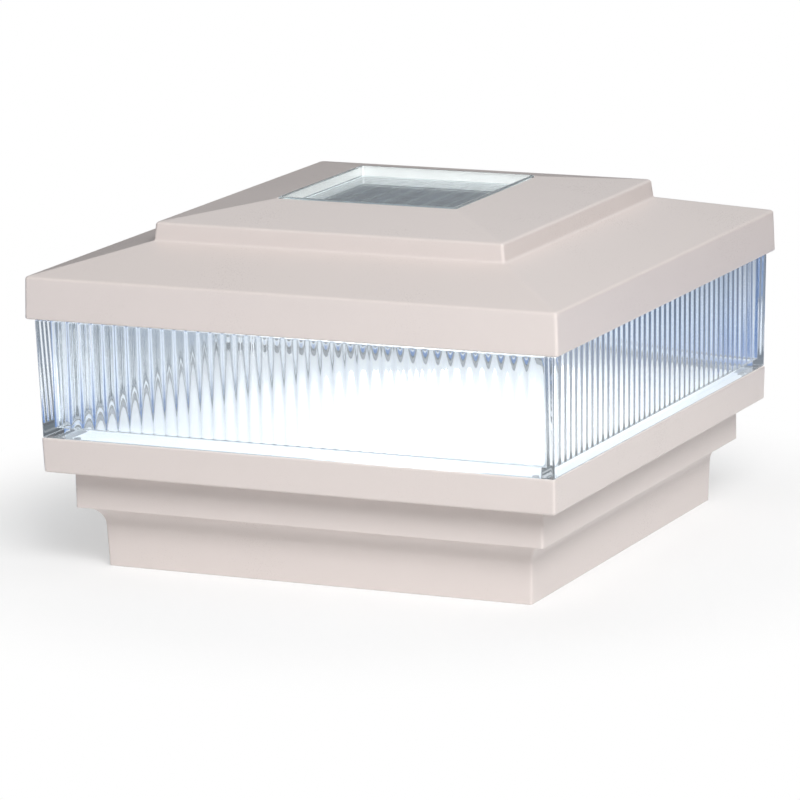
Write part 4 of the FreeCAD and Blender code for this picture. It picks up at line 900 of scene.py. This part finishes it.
floor_mesh = bpy.data.meshes.new("floor")
floor_mesh.from_pydata([(x * FLOOR_SIZE / 2, y * FLOOR_SIZE / 2, -GAP)
                        for x, y in ((-1, -1), (1, -1), (1, 1), (-1, 1))], [], [(0, 1, 2, 3)])
floor = linked("floor", floor_mesh)

ground = Finish("floor_white", {"Base Color": rgba((0.93, 0.93, 0.93)), "Roughness": 0.9,
                                "Specular IOR Level": 0.0})
eye, gloss, sent_on = kinds_of_ray(ground)
distance = ground.node("ShaderNodeVectorMath", {"operation": "LENGTH"},
                       {0: ground.place()}, "Value")
across = ground.node("ShaderNodeSeparateXYZ", {}, {0: ground.place()}, "X")
along = across.beside("Y")
# Painted shade for the lens: blue patches on the floor behind the light and at its near left, which
# only glass and gloss see.
behind = along.climb(*BEYOND) * across.climb(*ACROSS)
near_left = (1 - across.climb(*LEFT)) * (1 - along.climb(*NEARER))
painted_lens_shade = ground.blend(behind.most(near_left), CLEAR_WHITE, rgba(PAINTED_LENS_BLUE))
# Painted reflection: for gloss the floor turns dark far behind, so the lid's slopes mirror a dark
# floor.
seen = ground.blend(gloss * along.climb(*PAINTED_REFLECTION_DARK), painted_lens_shade, rgba(LOW))
covered = 1 - abs(across).most(abs(along)).climb(*COVERED)
glow = ground.node("ShaderNodeEmission", {}, {"Color": ground.blend(sent_on, CLEAR_WHITE, seen)})
plain = eye * (NEAR_SHARE + (1 - NEAR_SHARE) * distance.climb(*NEAR))
surface = ground.either(plain + sent_on + COVERED_GLOW * covered, ground.body(), glow)
from_below = ground.node("ShaderNodeNewGeometry", {}, {}, "Backfacing")
nothing = ground.node("ShaderNodeBsdfTransparent", {}, {})
ground.show(ground.either(from_below, surface, nothing))
floor_mesh.materials.append(ground.material)
print("floor nodes:", len(ground.tree.nodes))

# %% [markdown]
# ## The air
#
# The air lights the object evenly and weakly. The eye, and what glass sends on, sees it white.
# Gloss sees a grey front and a wall behind that is dark at its foot, so the lid's slopes and the
# window mirror a gradient and not one flat white.

# %% Set the air
AIR = 0.11
HIGH = (0.58, 0.60, 0.62)
FRONT = (0.62, 0.63, 0.64)
WALL_CLIMB = (0.05, 0.36)
WALL_START = (-0.2, 0.3)


class Sky(Finish):
    """The world, written with the same helpers as a material."""

    def __init__(self, name):
        self.world = bpy.data.worlds.new(name)
        self.world.use_nodes = True
        self.tree = self.world.node_tree
        self.shader = self.tree.nodes["Background"]


sky = Sky("studio")
bpy.context.scene.world = sky.world
eye, gloss, sent_on = kinds_of_ray(sky)
way = sky.node("ShaderNodeTexCoord", {}, {}, "Generated")
away = sky.node("ShaderNodeSeparateXYZ", {}, {0: way}, "Y")
wall = sky.blend(away.beside("Z").climb(*WALL_CLIMB), rgba(LOW), rgba(HIGH))
mirrored = sky.blend(away.climb(*WALL_START), rgba(FRONT), wall)
sky.drive(Color=sky.blend(eye.most(sent_on), rgba((AIR, AIR, AIR)),
                          sky.blend(gloss, CLEAR_WHITE, mirrored)))
print("air nodes:", len(sky.tree.nodes))

# %% [markdown]
# ## The lamps
#
# One large soft lamp stands in front to the right. Gloss sees only a weaker copy of it, so that no
# slope glares. A weak lamp behind fills the far sides. Two small lamps inside the lens add the
# light that the dome throws down on the floor and round on the walls.

# %% Hang the lamps
AIM = Vector((0, 0, 0.06))


def softbox(name, azimuth, elevation, far_off, size, power):
    """A square soft lamp that stands round the light and points at it."""
    thing = linked(name, bpy.data.lights.new(name, "AREA"))
    thing.data.size = size
    thing.data.energy = power
    way = pointing(math.radians(azimuth), math.radians(elevation))
    thing.location = AIM + way * far_off
    thing.rotation_euler = way.to_track_quat("Z", "Y").to_euler()
    return thing


def inner_lamp(name, kind, height, power):
    """A lamp on the axis inside the lens, whose own shape is never seen."""
    thing = linked(name, bpy.data.lights.new(name, kind))
    thing.data.energy = power
    thing.location = (0, 0, height)
    thing.visible_camera = thing.visible_glossy = thing.visible_transmission = False
    return thing.data


key = softbox("key_lamp", azimuth=42, elevation=40, far_off=1.6, size=0.8, power=24)
key.visible_glossy = False
softbox("sheen_lamp", azimuth=42, elevation=40, far_off=1.6, size=0.8, power=4)
fill = softbox("fill_lamp", azimuth=200, elevation=8, far_off=2.0, size=1.2, power=11)
fill.visible_glossy = fill.visible_transmission = False
inner_lamp("thrown_down", "AREA", height=0.0755, power=0.006).size = 0.12
inner_lamp("thrown_round", "POINT", height=0.062, power=0.035).shadow_soft_size = 0.01
bpy.context.scene.view_settings.view_transform = "Standard"
print("lamps:", len(bpy.data.lights))

# %% Count the pieces made
print("pieces made:", len(made_pieces))
